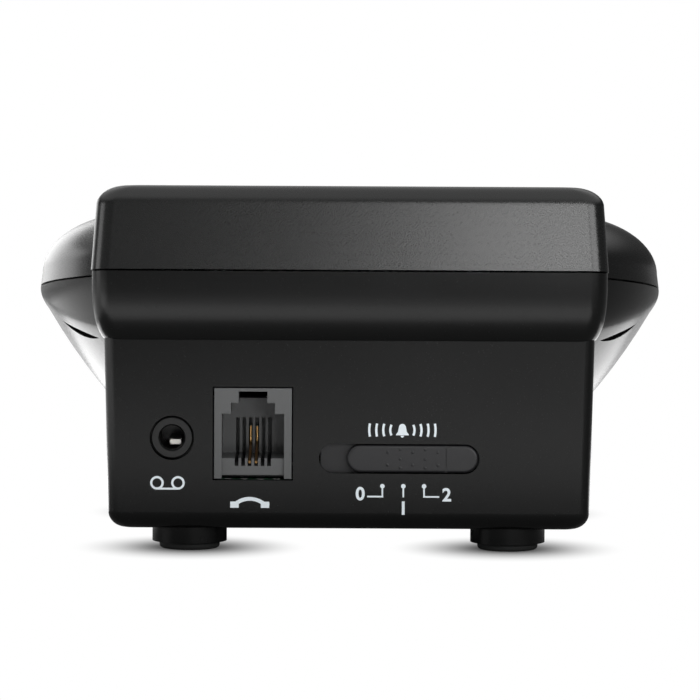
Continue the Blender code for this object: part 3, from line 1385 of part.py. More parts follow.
def build():
    for old in list(bpy.data.objects):
        bpy.data.objects.remove(old, do_unlink=True)
    black = material("black_abs", (0.022, 0.023, 0.023), 0.45)
    knob_black = material("knob_black", (0.020, 0.021, 0.022), 0.4)
    plate_grey = material("plate_grey", (0.12, 0.125, 0.13), 0.4)
    key_grey = material("key_grey", (0.42, 0.43, 0.44), 0.5)
    key_blue = material("key_blue", (0.03, 0.16, 0.36), 0.45)
    jack_grey = material("jack_grey", (0.095, 0.097, 0.1), 0.5)
    jack_black = material("jack_black", (0.02, 0.02, 0.021), 0.5)
    gilt = material("gilt_wire", (0.83, 0.55, 0.2), 0.25, 1.0)
    silver = material("silvered_spring", (0.7, 0.7, 0.68), 0.3, 1.0)
    steel = material("zinc_steel", (0.55, 0.56, 0.57), 0.35, 1.0)
    rubber = material("foot_rubber", (0.018, 0.018, 0.018), 0.8)
    silicone = material("silicone", (0.55, 0.56, 0.56), 0.6)
    board_green = material("board_green", (0.03, 0.16, 0.07), 0.45)
    lens_red = material("lens_red", (0.5, 0.02, 0.02), 0.2)
    cable_grey = material("cable_grey", (0.4, 0.41, 0.42), 0.5)
    core_dark = material("core_dark", (0.12, 0.11, 0.1), 0.55)

    lower_case(black)
    top_cover(black)
    face_plate(plate_grey)
    for name, *outline in key_outlines():
        key(name, *outline, key_blue if name == "talk_key" else key_grey)
    key_mat(silicone)
    key_board(board_green)
    line_lamp(lens_red)
    lamp_lens(lens_red)
    volume_wheel(knob_black)
    volume_pot(jack_black)
    main_board(board_green)
    ribbon_cable(cable_grey)
    line = line_jack_sizes()
    modular_jack("line_jack", line, jack_grey)
    for count, way in enumerate((2, 3)):
        contact_wire(f"line_contact_{count + 1}", line, way, gilt)
    headset = headset_jack_sizes()
    modular_jack("headset_jack", headset, jack_black)
    for way in range(headset.ways):
        contact_wire(f"headset_contact_{way + 1}", headset, way, gilt)
    rec_jack(jack_black)
    rec_contact(silver)
    ringer_slider(knob_black)
    ringer_switch(jack_black)
    ringer_lever(jack_black)
    line_transformer(core_dark)
    capacitor(core_dark)
    dial_chip(jack_black)
    sounder(jack_black)
    for name, place in FEET.items():
        foot_pad(name, place, rubber)
    for name, (x, y) in CASE_SCREWS.items():
        case_screw(name, x, y, steel)
    for count, (x, y) in enumerate(board_post_places()[:2]):
        board_screw(f"main_board_screw_{count + 1}", main_board_screw_place(x, y), steel)
    for count, (x, row) in enumerate(PLATE_SCREWS):
        board_screw(f"key_board_screw_{count + 1}", key_board_screw_place(x, row), steel)


build()
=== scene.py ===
import math

import bmesh
import bpy
from mathutils import Matrix, Vector


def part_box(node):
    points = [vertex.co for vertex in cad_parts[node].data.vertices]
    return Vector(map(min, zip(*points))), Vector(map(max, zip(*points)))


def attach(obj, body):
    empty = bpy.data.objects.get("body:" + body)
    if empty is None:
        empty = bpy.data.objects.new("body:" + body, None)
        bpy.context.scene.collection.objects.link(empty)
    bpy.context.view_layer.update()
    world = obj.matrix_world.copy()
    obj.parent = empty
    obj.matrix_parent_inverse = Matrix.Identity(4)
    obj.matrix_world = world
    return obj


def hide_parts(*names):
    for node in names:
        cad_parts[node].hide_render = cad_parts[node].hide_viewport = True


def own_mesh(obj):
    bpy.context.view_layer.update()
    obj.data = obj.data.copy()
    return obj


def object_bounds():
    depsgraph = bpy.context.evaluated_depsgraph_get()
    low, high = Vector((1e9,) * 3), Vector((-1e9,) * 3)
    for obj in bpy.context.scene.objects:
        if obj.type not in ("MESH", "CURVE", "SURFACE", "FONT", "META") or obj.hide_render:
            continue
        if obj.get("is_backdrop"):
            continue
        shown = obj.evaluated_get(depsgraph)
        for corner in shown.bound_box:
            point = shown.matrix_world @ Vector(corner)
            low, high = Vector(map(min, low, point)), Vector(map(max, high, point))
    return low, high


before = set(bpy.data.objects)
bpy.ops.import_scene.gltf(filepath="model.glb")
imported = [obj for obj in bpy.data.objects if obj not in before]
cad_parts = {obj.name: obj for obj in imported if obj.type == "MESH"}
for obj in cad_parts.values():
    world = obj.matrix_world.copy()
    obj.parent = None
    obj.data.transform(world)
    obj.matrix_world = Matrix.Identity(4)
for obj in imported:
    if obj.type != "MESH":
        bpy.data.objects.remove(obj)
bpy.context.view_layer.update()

rear_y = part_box("top_cover")[1].y


# The studio: a white table under a white background. A small soft lamp close by on the right draws the sheen along the
# raised block, and the left edges pick up a soft lamp behind. The lens is long, 0.9 m away and a little above.
class Shade:
    """One socket of a material's nodes, which plain arithmetic can use."""

    def __init__(self, tree, socket=None):
        self.tree = tree
        self.socket = socket

    def node(self, kind, settings=None, inputs=None, output=0):
        """Adds a node: its type, its settings, and the values or links of its sockets."""
        made = self.tree.nodes.new(kind)
        for name, value in (settings or {}).items():
            setattr(made, name, value)
        for name, value in (inputs or {}).items():
            if isinstance(value, Shade):
                self.tree.links.new(value.socket, made.inputs[name])
            else:
                made.inputs[name].default_value = value
        return Shade(self.tree, made.outputs[output])

    def maths(self, operation, *values):
        return self.node("ShaderNodeMath", {"operation": operation}, dict(enumerate(values)))

    def __add__(self, other):
        return self.maths("ADD", self, other)

    def __sub__(self, other):
        return self.maths("SUBTRACT", self, other)

    def __rsub__(self, other):
        return self.maths("SUBTRACT", other, self)

    def __mul__(self, other):
        return self.maths("MULTIPLY", self, other)

    __radd__ = __add__
    __rmul__ = __mul__

    def over(self, low, high):
        """0 up to low, 1 from high on, smooth between."""
        inputs = {0: self, 1: low, 2: high, 3: 0.0, 4: 1.0}
        return self.node("ShaderNodeMapRange", {"interpolation_type": "SMOOTHSTEP"}, inputs)

    def line(self, pitch, share):
        """1 on regular stripes that take this share of the pitch."""
        return 1 - self.maths("FRACT", self * (1 / pitch)).maths_over(share)

    def maths_over(self, level):
        return self.maths("GREATER_THAN", self, level)

    def tint(self, first, second):
        """A colour between two others, by this value."""
        inputs = {0: self, 6: (*first, 1) if isinstance(first, tuple) else first}
        inputs[7] = (*second, 1) if isinstance(second, tuple) else second
        return self.node("ShaderNodeMix", {"data_type": "RGBA"}, inputs, 2)

    def noise(self, scale, detail=2.0):
        """Fine mottling, in features per metre."""
        where = self.node("ShaderNodeTexCoord", output=3)
        return self.node("ShaderNodeTexNoise", {}, {"Vector": where, "Scale": scale, "Detail": detail})

    def place(self):
        """The three coordinates of a point on the piece, in metres."""
        where = self.node("ShaderNodeTexCoord", output=3)
        return [self.node("ShaderNodeSeparateXYZ", {}, {0: where}, axis) for axis in range(3)]

    def bumps(self, strength, distance):
        """Turns this height into a surface direction."""
        inputs = {"Strength": strength, "Distance": distance, "Height": self}
        return self.node("ShaderNodeBump", {}, inputs)


def new_material(name, seen, **plain):
    """A material, its nodes to build with, and its shader with the values that are the same all over."""
    material = bpy.data.materials.new(name)
    material.use_nodes = True
    material.diffuse_color = (*seen, 1)
    shader = material.node_tree.nodes["Principled BSDF"]
    for socket, value in plain.items():
        shader.inputs[socket.replace("_", " ")].default_value = value
    return material, Shade(material.node_tree), shader


def feed(material, shader, **values):
    """Links what varies over the surface to the shader."""
    for socket, value in values.items():
        material.node_tree.links.new(value.socket, shader.inputs[socket.replace("_", " ")])


camera = bpy.data.objects.new("camera", bpy.data.cameras.new("camera"))
bpy.context.scene.collection.objects.link(camera)
camera.data.sensor_width = 36
camera.data.lens = 5771.5 / 700 * 36
camera.data.clip_start = 0.05
camera.data.clip_end = 60
camera.matrix_world = (
    Matrix.Translation((-0.00008, rear_y + 0.9, 0.1037))
    @ Matrix.Rotation(math.pi, 4, "Z")
    @ Matrix.Rotation(math.pi / 2 - math.atan(456.8 / 5760), 4, "X")
    @ Matrix.Rotation(math.radians(0.3), 4, "Z")
)
bpy.context.scene.camera = camera
bpy.context.scene.view_settings.view_transform = "Standard"

bpy.ops.mesh.primitive_plane_add(size=30)
table = bpy.context.object
table.name = "table"
table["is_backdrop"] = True
table_white, shade, shader = new_material("table_white", (1, 1, 1), Roughness=0.7)
across, back, _ = shade.place()
feed(table_white, shader, Base_Color=shade.noise(30, 2).tint((0.23, 0.23, 0.23), (0.26, 0.26, 0.26)))
# Painted shadow: the white that the lens sees fades out in a soft disc round each foot, so the darker table shows
# there as a shadow. The table's real shading deepens it under the feet.
white_outside_painted_shadows = 1.0
for foot in [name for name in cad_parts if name.startswith("foot_")]:
    low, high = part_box(foot)
    aside, behind = across - (low.x + high.x) / 2, back - (low.y + high.y) / 2
    white_outside_painted_shadows = white_outside_painted_shadows * shade.maths("SQRT", aside * aside + behind * behind).over(0.0015, 0.0190)
ray = shade.node("ShaderNodeLightPath", output=0)
lit = shade.node("ShaderNodeEmission", {}, {"Color": (1, 1, 1, 1), "Strength": 1.0})
own = Shade(table_white.node_tree, shader.outputs[0])
both = shade.node("ShaderNodeMixShader", {}, {0: white_outside_painted_shadows * ray, 1: own, 2: lit})
table_white.node_tree.links.new(both.socket, table_white.node_tree.nodes["Material Output"].inputs["Surface"])
table.data.materials.append(table_white)

world = bpy.data.worlds.new("studio")
world.use_nodes = True
bpy.context.scene.world = world
sky = Shade(world.node_tree)
heading = sky.node("ShaderNodeTexCoord", output=0)
side, ahead, up = [sky.node("ShaderNodeSeparateXYZ", {}, {0: heading}, axis) for axis in range(3)]
far_wall = (0.26 * side - 0.966 * ahead).over(0.90, 0.995)
ceiling = up.over(0.25, 0.6)
direct = sky.node("ShaderNodeLightPath", output=0)
seen = sky.node("ShaderNodeBackground", {}, {"Color": (1, 1, 1, 1), "Strength": 0.05})
for strength, where in ((0.95, far_wall), (1.05, ceiling), (1.0, direct)):
    glow = sky.node("ShaderNodeBackground", {}, {"Color": (1, 1, 1, 1), "Strength": strength})
    seen = sky.node("ShaderNodeMixShader", {}, {0: where, 1: seen, 2: glow})
world.node_tree.links.new(seen.socket, world.node_tree.nodes["World Output"].inputs["Surface"])


def soft_lamp(name, place, aim, width, height, glow):
    """A rectangular lamp of an even glow, which the lens doesn't see."""
    lamp = bpy.data.objects.new(name, bpy.data.lights.new(name, "AREA"))
    bpy.context.scene.collection.objects.link(lamp)
    lamp.data.shape = "RECTANGLE"
    lamp.data.size = width
    lamp.data.size_y = height
    lamp.data.energy = glow * math.pi * width * height
    lamp.location = place
    lamp.rotation_euler = (Vector(aim) - Vector(place)).to_track_quat("-Z", "Y").to_euler()
    lamp.visible_camera = False


soft_lamp("lamp_block", (-0.057, rear_y + 0.28, 0.078), (-0.036, rear_y, 0.050), 0.075, 0.04, 14)
soft_lamp("lamp_corner", (-0.18, rear_y + 0.20, 0.080), (-0.04, rear_y, 0.050), 0.18, 0.04, 9)
soft_lamp("lamp_behind", (0.46, -0.65, 0.12), (0, 0, 0.04), 0.7, 0.3, 2.0)
soft_lamp("lamp_left_table", (0.31, 0.10, 0.002), (0.31, 0.10, 1), 0.38, 0.5, 1.7)
soft_lamp("lamp_left", (0.5, rear_y + 0.09, 0.06), (0.04, rear_y, 0.04), 0.25, 0.14, 3.0)
soft_lamp("lamp_left_near", (0.075, -0.03, 0.002), (0.075, -0.03, 1), 0.07, 0.10, 4.4)
soft_lamp("lamp_left_far", (0.075, -0.21, 0.002), (0.075, -0.21, 1), 0.07, 0.22, 0.8)
soft_lamp("lamp_right_near", (-0.075, -0.03, 0.002), (-0.075, -0.03, 1), 0.07, 0.10, 3.0)
soft_lamp("lamp_right_far", (-0.075, -0.21, 0.002), (-0.075, -0.21, 1), 0.07, 0.22, 0.65)
soft_lamp("lamp_front", (0.08, rear_y + 0.12, 0.002), (0.08, rear_y + 0.12, 1), 0.32, 0.10, 2.7)


# The lower case: one black ABS moulding with a bowl under the round keypad, a shoulder that overhangs the back, and
# the connector box. It has a fine spark-eroded texture, a sound vent in each flank and a boss for each foot.
def only(piece):
    """Makes this the one selected and active object."""
    bpy.ops.object.select_all(action="DESELECT")
    piece.select_set(True)
    bpy.context.view_layer.objects.active = piece
    return piece


def pick(piece, kind, chosen):
    """Opens the piece in edit mode with what is chosen by its place selected."""
    only(piece)
    bpy.ops.object.mode_set(mode="EDIT")
    bpy.ops.mesh.select_mode(type=kind)
    bpy.ops.mesh.select_all(action="DESELECT")
    mesh = bmesh.from_edit_mesh(piece.data)
    for part in {"VERT": mesh.verts, "EDGE": mesh.edges, "FACE": mesh.faces}[kind]:
        if chosen(part):
            part.select_set(True)
    bmesh.update_edit_mesh(piece.data)


def close_edit():
    bpy.ops.object.mode_set(mode="OBJECT")


def settle(piece):
    """Puts the piece's place in its mesh, and its origin at the world's."""
    only(piece)
    bpy.ops.object.transform_apply(location=True, rotation=True, scale=True)
    return piece


def outward(piece):
    """Turns every face's front to the outside."""
    pick(piece, "FACE", lambda face: True)
    bpy.ops.mesh.normals_make_consistent(inside=False)
    close_edit()
    return piece


def outline(name, low, high, front_round=0.0, rear_round=0.0, steps=8):
    """A flat rectangle with round corners."""
    middle = (low[1] + high[1]) / 2
    bpy.ops.mesh.primitive_plane_add(size=1, location=((low[0] + high[0]) / 2, middle, 0))
    made = bpy.context.object
    made.name = name
    made.scale = (high[0] - low[0], high[1] - low[1], 1)
    settle(made)
    for radius, sign in ((front_round, -1), (rear_round, 1)):
        if radius:
            pick(made, "VERT", lambda vertex: (vertex.co.y - middle) * sign > 0)
            bpy.ops.mesh.bevel(offset=radius, segments=steps, affect="VERTICES")
            close_edit()
    return made


def ring_of(name, radius, sides, centre=(0, 0)):
    bpy.ops.mesh.primitive_circle_add(vertices=sides, radius=radius, fill_type="NGON", location=(*centre, 0))
    made = bpy.context.object
    made.name = name
    return settle(made)


def tower(made, centre, rings, flat_y=None):
    """Raises a flat outline ring by ring. A ring is its half width, half depth and height, which may follow y."""
    pick(made, "FACE", lambda face: True)
    for before, after in zip(rings, rings[1:]):
        bpy.ops.mesh.extrude_region_move(TRANSFORM_OT_translate={"value": (0, 0, 1)})
        size = (after[0] / before[0], after[1] / before[1], 1)
        bpy.ops.transform.resize(value=size, center_override=(*centre, 0))
    close_edit()
    for vertex in made.data.vertices:
        height = rings[round(vertex.co.z)][2]
        if flat_y is not None:
            vertex.co.y = min(vertex.co.y, flat_y)
        vertex.co.z = height(vertex.co.y) if callable(height) else height
    return outward(made)


def block(name, low, high, front_round=0.0, rear_round=0.0, steps=8):
    made = outline(name, low, high, front_round, rear_round, steps)
    return tower(made, (0, 0), [(1, 1, low[2]), (1, 1, high[2])])


def cylinder(name, radius, low, high, centre=(0, 0), sides=32):
    return tower(ring_of(name, radius, sides, centre), centre, [(1, 1, low), (1, 1, high)])


def combine(piece, other, operation):
    """Joins the other piece on, or cuts it away, and removes it."""
    modifier = piece.modifiers.new("combine", "BOOLEAN")
    modifier.operation = operation
    modifier.object = other
    modifier.solver = "EXACT"
    only(piece)
    bpy.ops.object.modifier_apply(modifier="combine")
    bpy.data.objects.remove(other, do_unlink=True)
    return piece


def gather(first, others):
    """Makes several pieces one, each still a closed shell of its own."""
    only(first)
    for other in others:
        other.select_set(True)
    bpy.ops.object.join()
    return first


def smooth(piece, angle=32, edge_round=0.0, edge_angle=50):
    """Softens the sharp edges, shades the rest smooth and keeps flats flat."""
    only(piece)
    if edge_round:
        bevel = piece.modifiers.new("edge", "BEVEL")
        bevel.width = edge_round
        bevel.segments = 2
        bevel.limit_method = "ANGLE"
        bevel.angle_limit = math.radians(edge_angle)
        bpy.ops.object.modifier_apply(modifier="edge")
    bpy.ops.object.shade_smooth_by_angle(angle=math.radians(angle))
    weighted = piece.modifiers.new("flats", "WEIGHTED_NORMAL")
    weighted.keep_sharp = True
    bpy.ops.object.modifier_apply(modifier="flats")
    return piece


def finish_piece(piece, materials, slot, body, *nodes):
    """Gives a piece its materials and the body it moves with, and hides the nodes it stands for; its slot is not used.
    """
    piece.data.materials.clear()
    for material in materials:
        piece.data.materials.append(material)
    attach(piece, body)
    if nodes:
        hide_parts(*nodes)
    return piece


BODY_RADIUS = 0.0507
TILT = math.radians(7.4)
BODY_Y = rear_y - 0.0460
PART_REAR_Z = 0.0446
PART_Z = PART_REAR_Z - 0.0460 * math.tan(TILT)
FACE = Matrix.Translation((0, BODY_Y, PART_Z)) @ Matrix.Rotation(TILT, 4, "X")
FACE_UP = (FACE.to_3x3() @ Vector((0, 0, 1))).normalized()
OVER = 0.002
CASE_WALL = 0.0020
BASE_Z = 0.00375
STEP_Z = 0.0336
BASE_HALF = 0.03855
BASE_DRAFT = 0.00075
BASE_FRONT_Y = BODY_Y - 0.0330
OVERHANG = 0.0019
WALL_Y = rear_y - OVERHANG
SHOULDER_Y = BODY_Y + 0.0050
CREASE_Z = 0.0357


def along_part(offset):
    """Heights that follow the tilted plane where the two halves of the case meet."""
    return lambda y: PART_Z + (y - BODY_Y) * math.tan(TILT) + offset


def crease_z(y):
    return CREASE_Z - 0.0062 * ((y - BODY_Y) / BODY_RADIUS) ** 2


def bowl(name, inset, foot_z, flat_y):
    crease = BODY_RADIUS - 0.0013
    part = along_part(0)
    rings = []
    for step in range(12, 0, -1):
        share = step / 12
        bulge = 4 * 0.0024 * share * (1 - share) * math.sqrt(0.5)
        radius = crease + (0.0205 - crease) * share + bulge - inset
        height = lambda y, share=share, bulge=bulge: crease_z(y) * (1 - share) + foot_z * share - bulge
        rings.append((radius, radius, height))
    for step in range(8, -1, -1):
        share = step / 8
        radius = BODY_RADIUS - 0.0013 * share**2.2 - inset
        height = lambda y, share=share: part(y) * (1 - share) + crease_z(y) * share
        rings.append((radius, radius, height))
    rings.append((BODY_RADIUS - inset, BODY_RADIUS - inset, PART_REAR_Z + 2 * OVER + inset))
    made = ring_of(name, rings[0][0], 144)
    made.scale.y = math.cos(TILT)
    made.location.y = BODY_Y
    return tower(settle(made), (0, BODY_Y), rings, flat_y)


def connector_box(inset):
    """The box, narrower at its foot by the mould's draft and rounded along its bottom edge."""
    edge = 0.0028 if not inset else 0.0006
    centre_y = (BASE_FRONT_Y + WALL_Y) / 2
    half_y = (WALL_Y - BASE_FRONT_Y) / 2 - inset
    rings = []
    for step in range(11):
        angle = math.pi / 2 * step / 10
        pull, rise = edge * (1 - math.sin(angle)), edge * (1 - math.cos(angle))
        z = BASE_Z + inset + rise
        half_x = BASE_HALF - inset - BASE_DRAFT * (STEP_Z - z) / (STEP_Z - BASE_Z)
        rings.append((half_x - pull, half_y - pull, z))
    rings.append((BASE_HALF - inset, half_y, STEP_Z + OVER + inset))
    half_x, half_y = rings[0][:2]
    low, high = (-half_x, centre_y - half_y), (half_x, centre_y + half_y)
    made = outline("connector_box", low, high, 0.012 - inset - edge, 0.0016, 10)
    return tower(made, (0, centre_y), rings)


def shoulder(inset):
    """The overhang curls out from the box wall as it rises."""
    steps = [(-CASE_WALL / 2, STEP_Z)] if not inset else [(OVERHANG - inset, STEP_Z + 0.003)]
    if not inset:
        for share in (0.004, 0.02, 0.05, 0.1, 0.16, 0.24, 0.34, 0.46, 0.6, 0.78, 1.0):
            steps.append((OVERHANG * (1 - (1 - share) ** 3) ** 0.75, STEP_Z + 0.0100 * share))
    steps.append((steps[-1][0], PART_REAR_Z + OVER + inset))
    rings = [(BASE_HALF + offset, WALL_Y + offset - SHOULDER_Y, z) for offset, z in steps]
    low, high = (-rings[0][0], SHOULDER_Y), (rings[0][0], SHOULDER_Y + rings[0][1])
    return tower(outline("shoulder", low, high, 0.0016, 0.0027), (0, SHOULDER_Y), rings)


def moulded(name, tone, roughness, mottle=0.05, grain=4200, depth=0.1, shine=0.5, contrast=0.14):
    """Injection-moulded plastic: spark-eroded grain, a faint flow mottle and a little fine dust."""
    seen = tone if isinstance(tone, tuple) else (tone * 0.98, tone * 1.02, tone)
    material, shade, shader = new_material(name, seen)
    shader.inputs["Specular IOR Level"].default_value = shine
    cloud = shade.noise(38, 3)
    fine = shade.noise(grain, 1)
    dust = shade.noise(5200, 0).over(0.80, 0.86)
    low = tuple(value * (1 - contrast) for value in seen)
    high = tuple(value * (1 + contrast) + 0.0003 for value in seen)
    bright = tuple(min(1, value * 1.6 + 0.012) for value in seen)
    feed(
        material,
        shader,
        Base_Color=(0.5 * dust).tint(cloud.tint(low, high), bright),
        Roughness=roughness + mottle * (cloud - 0.5) + 0.06 * (fine - 0.5) + 0.12 * dust,
        Normal=fine.bumps(depth, 0.00006),
    )
    return material


case_black = moulded("case_black", 0.0036, 0.25, shine=0.2)

lower = bowl("lower_case_moulding", 0, BASE_Z + 0.0006, WALL_Y - CASE_WALL / 2)
combine(lower, connector_box(0), "UNION")
combine(lower, shoulder(0), "UNION")
feet = [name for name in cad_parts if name.startswith("foot_")]
for name in feet:
    low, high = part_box(name)
    centre = ((low.x + high.x) / 2, (low.y + high.y) / 2)
    combine(lower, cylinder("boss", 0.0059, 0.0012, BASE_Z + 0.0008, centre, 64), "UNION")
    combine(lower, cylinder("seat", 0.0050, -0.001, 0.0025, centre, 64), "DIFFERENCE")
combine(lower, bowl("hollow", 0.0024, BASE_Z + CASE_WALL + 0.0006, WALL_Y - CASE_WALL - 0.0002), "DIFFERENCE")
combine(lower, connector_box(CASE_WALL), "DIFFERENCE")
combine(lower, shoulder(CASE_WALL), "DIFFERENCE")

PLATE_SHIFT = 0.0040
screws = [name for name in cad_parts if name.startswith("case_screw")]
case_posts = []
for name in screws:
    low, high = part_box(name)
    case_posts.append(((low.x + high.x) / 2, (low.y + high.y) / 2))
for place in case_posts:
    combine(lower, cylinder("post", 0.0039, BASE_Z + CASE_WALL - 0.0004, 0.047, place), "UNION")
pick(lower, "FACE", lambda face: True)
bpy.ops.mesh.bisect(plane_co=FACE.translation, plane_no=FACE_UP, use_fill=True, clear_outer=True)
close_edit()
board_low, board_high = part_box("main_board")
post_tops = board_low.z - 0.0003
for x in (board_low.x + 0.0035, board_high.x - 0.0035):
    for y in (board_low.y + 0.0035, board_high.y - 0.0035):
        combine(lower, cylinder("post", 0.0025, BASE_Z + CASE_WALL - 0.0004, post_tops, (x, y), 24), "UNION")
for name in ("main_board_screw_1", "main_board_screw_2"):
    low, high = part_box(name)
    place = ((low.x + high.x) / 2, (low.y + high.y) / 2)
    combine(lower, cylinder("hole", 0.0010, post_tops - 0.0034, 0.02, place, 16), "DIFFERENCE")
for x, y in case_posts:
    seat = along_part(-0.0050)
    combine(lower, tower(ring_of("bore", 0.0028, 32, (x, y)), (x, y), [(1, 1, 0.0), (1, 1, seat)]), "DIFFERENCE")
    combine(lower, cylinder("hole", 0.0014, 0.02, 0.06, (x, y), 24), "DIFFERENCE")

low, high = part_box("line_jack")
low, high = low - Vector((0.0002,) * 3), high + Vector((0.0002,) * 3)
window = block("window", (low.x, WALL_Y - CASE_WALL - OVER, low.z), (high.x, WALL_Y + OVER, high.z), 0, 0)
combine(lower, window, "DIFFERENCE")
low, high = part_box("headset_jack")
low, high = low - Vector((0.0002,) * 3), high + Vector((0.0002,) * 3)
combine(lower, block("window", (-0.0406, low.y, low.z), (-0.0345, high.y, high.z)), "DIFFERENCE")


def on_wall(made, x, z, proud=0.0):
    """Stands a piece on the connector wall: its x runs to the right seen from behind, its y up and its z outwards."""
    turn = Matrix(((-1, 0, 0), (0, 0, 1), (0, 1, 0))).to_4x4()
    made.matrix_world = Matrix.Translation((x, WALL_Y + proud, z)) @ turn @ made.matrix_world
    return settle(made)


def slot_bar(name, length, height, low, high):
    """A bar with round ends, as long as a slot."""
    near = 0.49 * height
    return block(name, (-length / 2, -height / 2, low), (length / 2, height / 2, high), near, near, 12)


REC_X, REC_Z = 0.0278, 0.0182
SLOT_X, SLOT_Z = -0.0079, 0.01505
combine(lower, on_wall(cylinder("hole", 0.0035, -0.005, 0.002, sides=72), REC_X, REC_Z), "DIFFERENCE")
combine(lower, on_wall(slot_bar("slot", 0.0252, 0.0047, -0.005, 0.002), SLOT_X, SLOT_Z), "DIFFERENCE")


def vent(side):
    """A lens-shaped slot that runs into the flank, square to it, and falls with the crease."""
    spot = Vector((side * 0.0431, 0.0215, 0))
    out = spot.normalized()
    slope = math.atan2(CREASE_Z - BASE_Z, BODY_RADIUS - 0.0205)
    inward = Vector((0, 0, 1)) * math.cos(slope) - out * math.sin(slope)
    up_flank = Vector((0, 0, 1)) * math.sin(slope) + out * math.cos(slope)
    level_way = Vector((-side * spot.y, abs(spot.x), 0)).normalized()
    fall = math.radians(7.3)
    along = level_way * math.cos(fall) - up_flank * math.sin(fall)
    rising = level_way * math.sin(fall) + up_flank * math.cos(fall)
    made = ring_of("vent", 1, 48)
    for vertex in made.data.vertices:
        share = 0.0012 * (0.3 if vertex.co.y > 0 else 0.7)
        vertex.co.y = math.copysign(share * max(0.0, 1 - vertex.co.x**2), vertex.co.y)
        vertex.co.x *= 0.0067
    tower(made, (0, 0), [(1, 1, -0.004), (1, 1, 0.004)])
    turn = Matrix((along, rising, inward)).transposed().to_4x4()
    made.matrix_world = Matrix.Translation((spot.x, BODY_Y + spot.y, 0.0335)) @ turn
    return outward(settle(made))


for side in (1, -1):
    combine(lower, vent(side), "DIFFERENCE")
smooth(lower, 30)
finish_piece(lower, [case_black], "black_abs", "base", "lower_case")

# The foot pads: turned-over rubber buttons glued into the bosses. Each is a little barrel-shaped from the weight on
# it, with a round foot edge.
foot_rubber = moulded("foot_rubber", 0.017, 0.72, 0.12, 2600, 0.35, 0.35, 0.25)
PAD = ((0.0, 0.0041), (0.00006, 0.0044), (0.0002, 0.00463), (0.0004, 0.00475), (0.0008, 0.0048), (0.0022, 0.0048))
pad = tower(ring_of("foot_pad", PAD[0][1], 72), (0, 0), [(radius, radius, height) for height, radius in PAD])
smooth(pad, 40)
for name in feet:
    low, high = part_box(name)
    made = pad.copy()
    made.data = pad.data.copy()
    made.name = name + "_rubber"
    bpy.context.scene.collection.objects.link(made)
    made.location = ((low.x + high.x) / 2, (low.y + high.y) / 2, 0)
    finish_piece(settle(made), [foot_rubber], "foot_rubber", "base", name)
bpy.data.objects.remove(pad)

# The main board stands on four posts: glass-fibre board with green solder mask over copper tracks, and tinned pads in
# rows a tenth of an inch apart. The rubber mat's board is of the same make.
def circuit_board(name):
    material, shade, shader = new_material(name, (0.02, 0.12, 0.05), Coat_Roughness=0.2)
    across, back, _ = shade.place()
    patch = shade.noise(70, 1)
    level_way = shade.noise(110, 0).over(0.49, 0.51)
    tracks = level_way * back.line(0.00127, 0.4) + (1 - level_way) * across.line(0.00127, 0.4)
    copper = tracks * patch.over(0.44, 0.46)
    across_pad = shade.maths("FRACT", across * (1 / 0.00254)) - 0.5
    back_pad = shade.maths("FRACT", back * (1 / 0.00254)) - 0.5
    reach = shade.maths("SQRT", across_pad * across_pad + back_pad * back_pad)
    pads = (1 - reach.over(0.26, 0.30)) * shade.noise(60, 0).over(0.52, 0.53)
    green = copper.tint((0.012, 0.085, 0.035), (0.03, 0.19, 0.075))
    feed(
        material,
        shader,
        Base_Color=pads.tint(green, (0.6, 0.6, 0.58)),
        Metallic=pads * 0.9,
        Roughness=0.34 + 0.1 * shade.noise(900, 2) - 0.06 * pads,
        Coat_Weight=0.5 - 0.5 * pads,
        Normal=(copper + pads).bumps(0.4, 0.00004),
    )
    return material


board_green = circuit_board("board_green")
for name in ("main_board", "key_board"):
    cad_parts[name].material_slots[0].material = board_green


# The line jack: a six-way modular housing in grey plastic, with a stepped opening for the plug and its latch, a comb
# of contact slots and two gilt spring wires. The headset jack is the same with four ways, in black, in the left side.
def box_cut(name, half, low_y, high_y, low_z, high_z):
    return block(name, (-half, low_y, low_z), (half, high_y, high_z))


def modular_jack(name, width, height, floor, mouth, step, latch, ways):
    """Its face looks along y, and its foot is at the origin."""
    body = box_cut(name, width / 2, -0.0140, 0, 0, height)
    pick(body, "EDGE", lambda edge: min(vertex.co.y for vertex in edge.verts) > -0.0001)
    bpy.ops.mesh.bevel(offset=0.00012, segments=3, affect="EDGES")
    close_edit()
    low = floor
    for wide, tall in (mouth, step, latch):
        deep = -0.0150 if (wide, tall) == latch else -0.0102
        combine(body, box_cut("mouth", wide / 2, deep, OVER, low, low + tall + 0.0001), "DIFFERENCE")
        low += tall
    combine(body, box_cut("lip", mouth[0] / 2, -0.0006, OVER, -OVER, floor + OVER), "DIFFERENCE")
    combine(body, box_cut("gap", mouth[0] / 2, -0.0040, 0.0001, -OVER, 0.0006), "DIFFERENCE")
    for way in range(ways):
        x = (way - (ways - 1) / 2) * 0.00102
        slot = block("slot", (x - 0.0003, -0.0100, floor - 0.0012), (x + 0.0003, 0, floor + OVER))
        combine(body, slot, "DIFFERENCE")
        back = block("slot", (x - 0.0003, -0.0132, floor - 0.0012), (x + 0.0003, -0.0098, floor + 0.0056))
        combine(body, back, "DIFFERENCE")
    return body


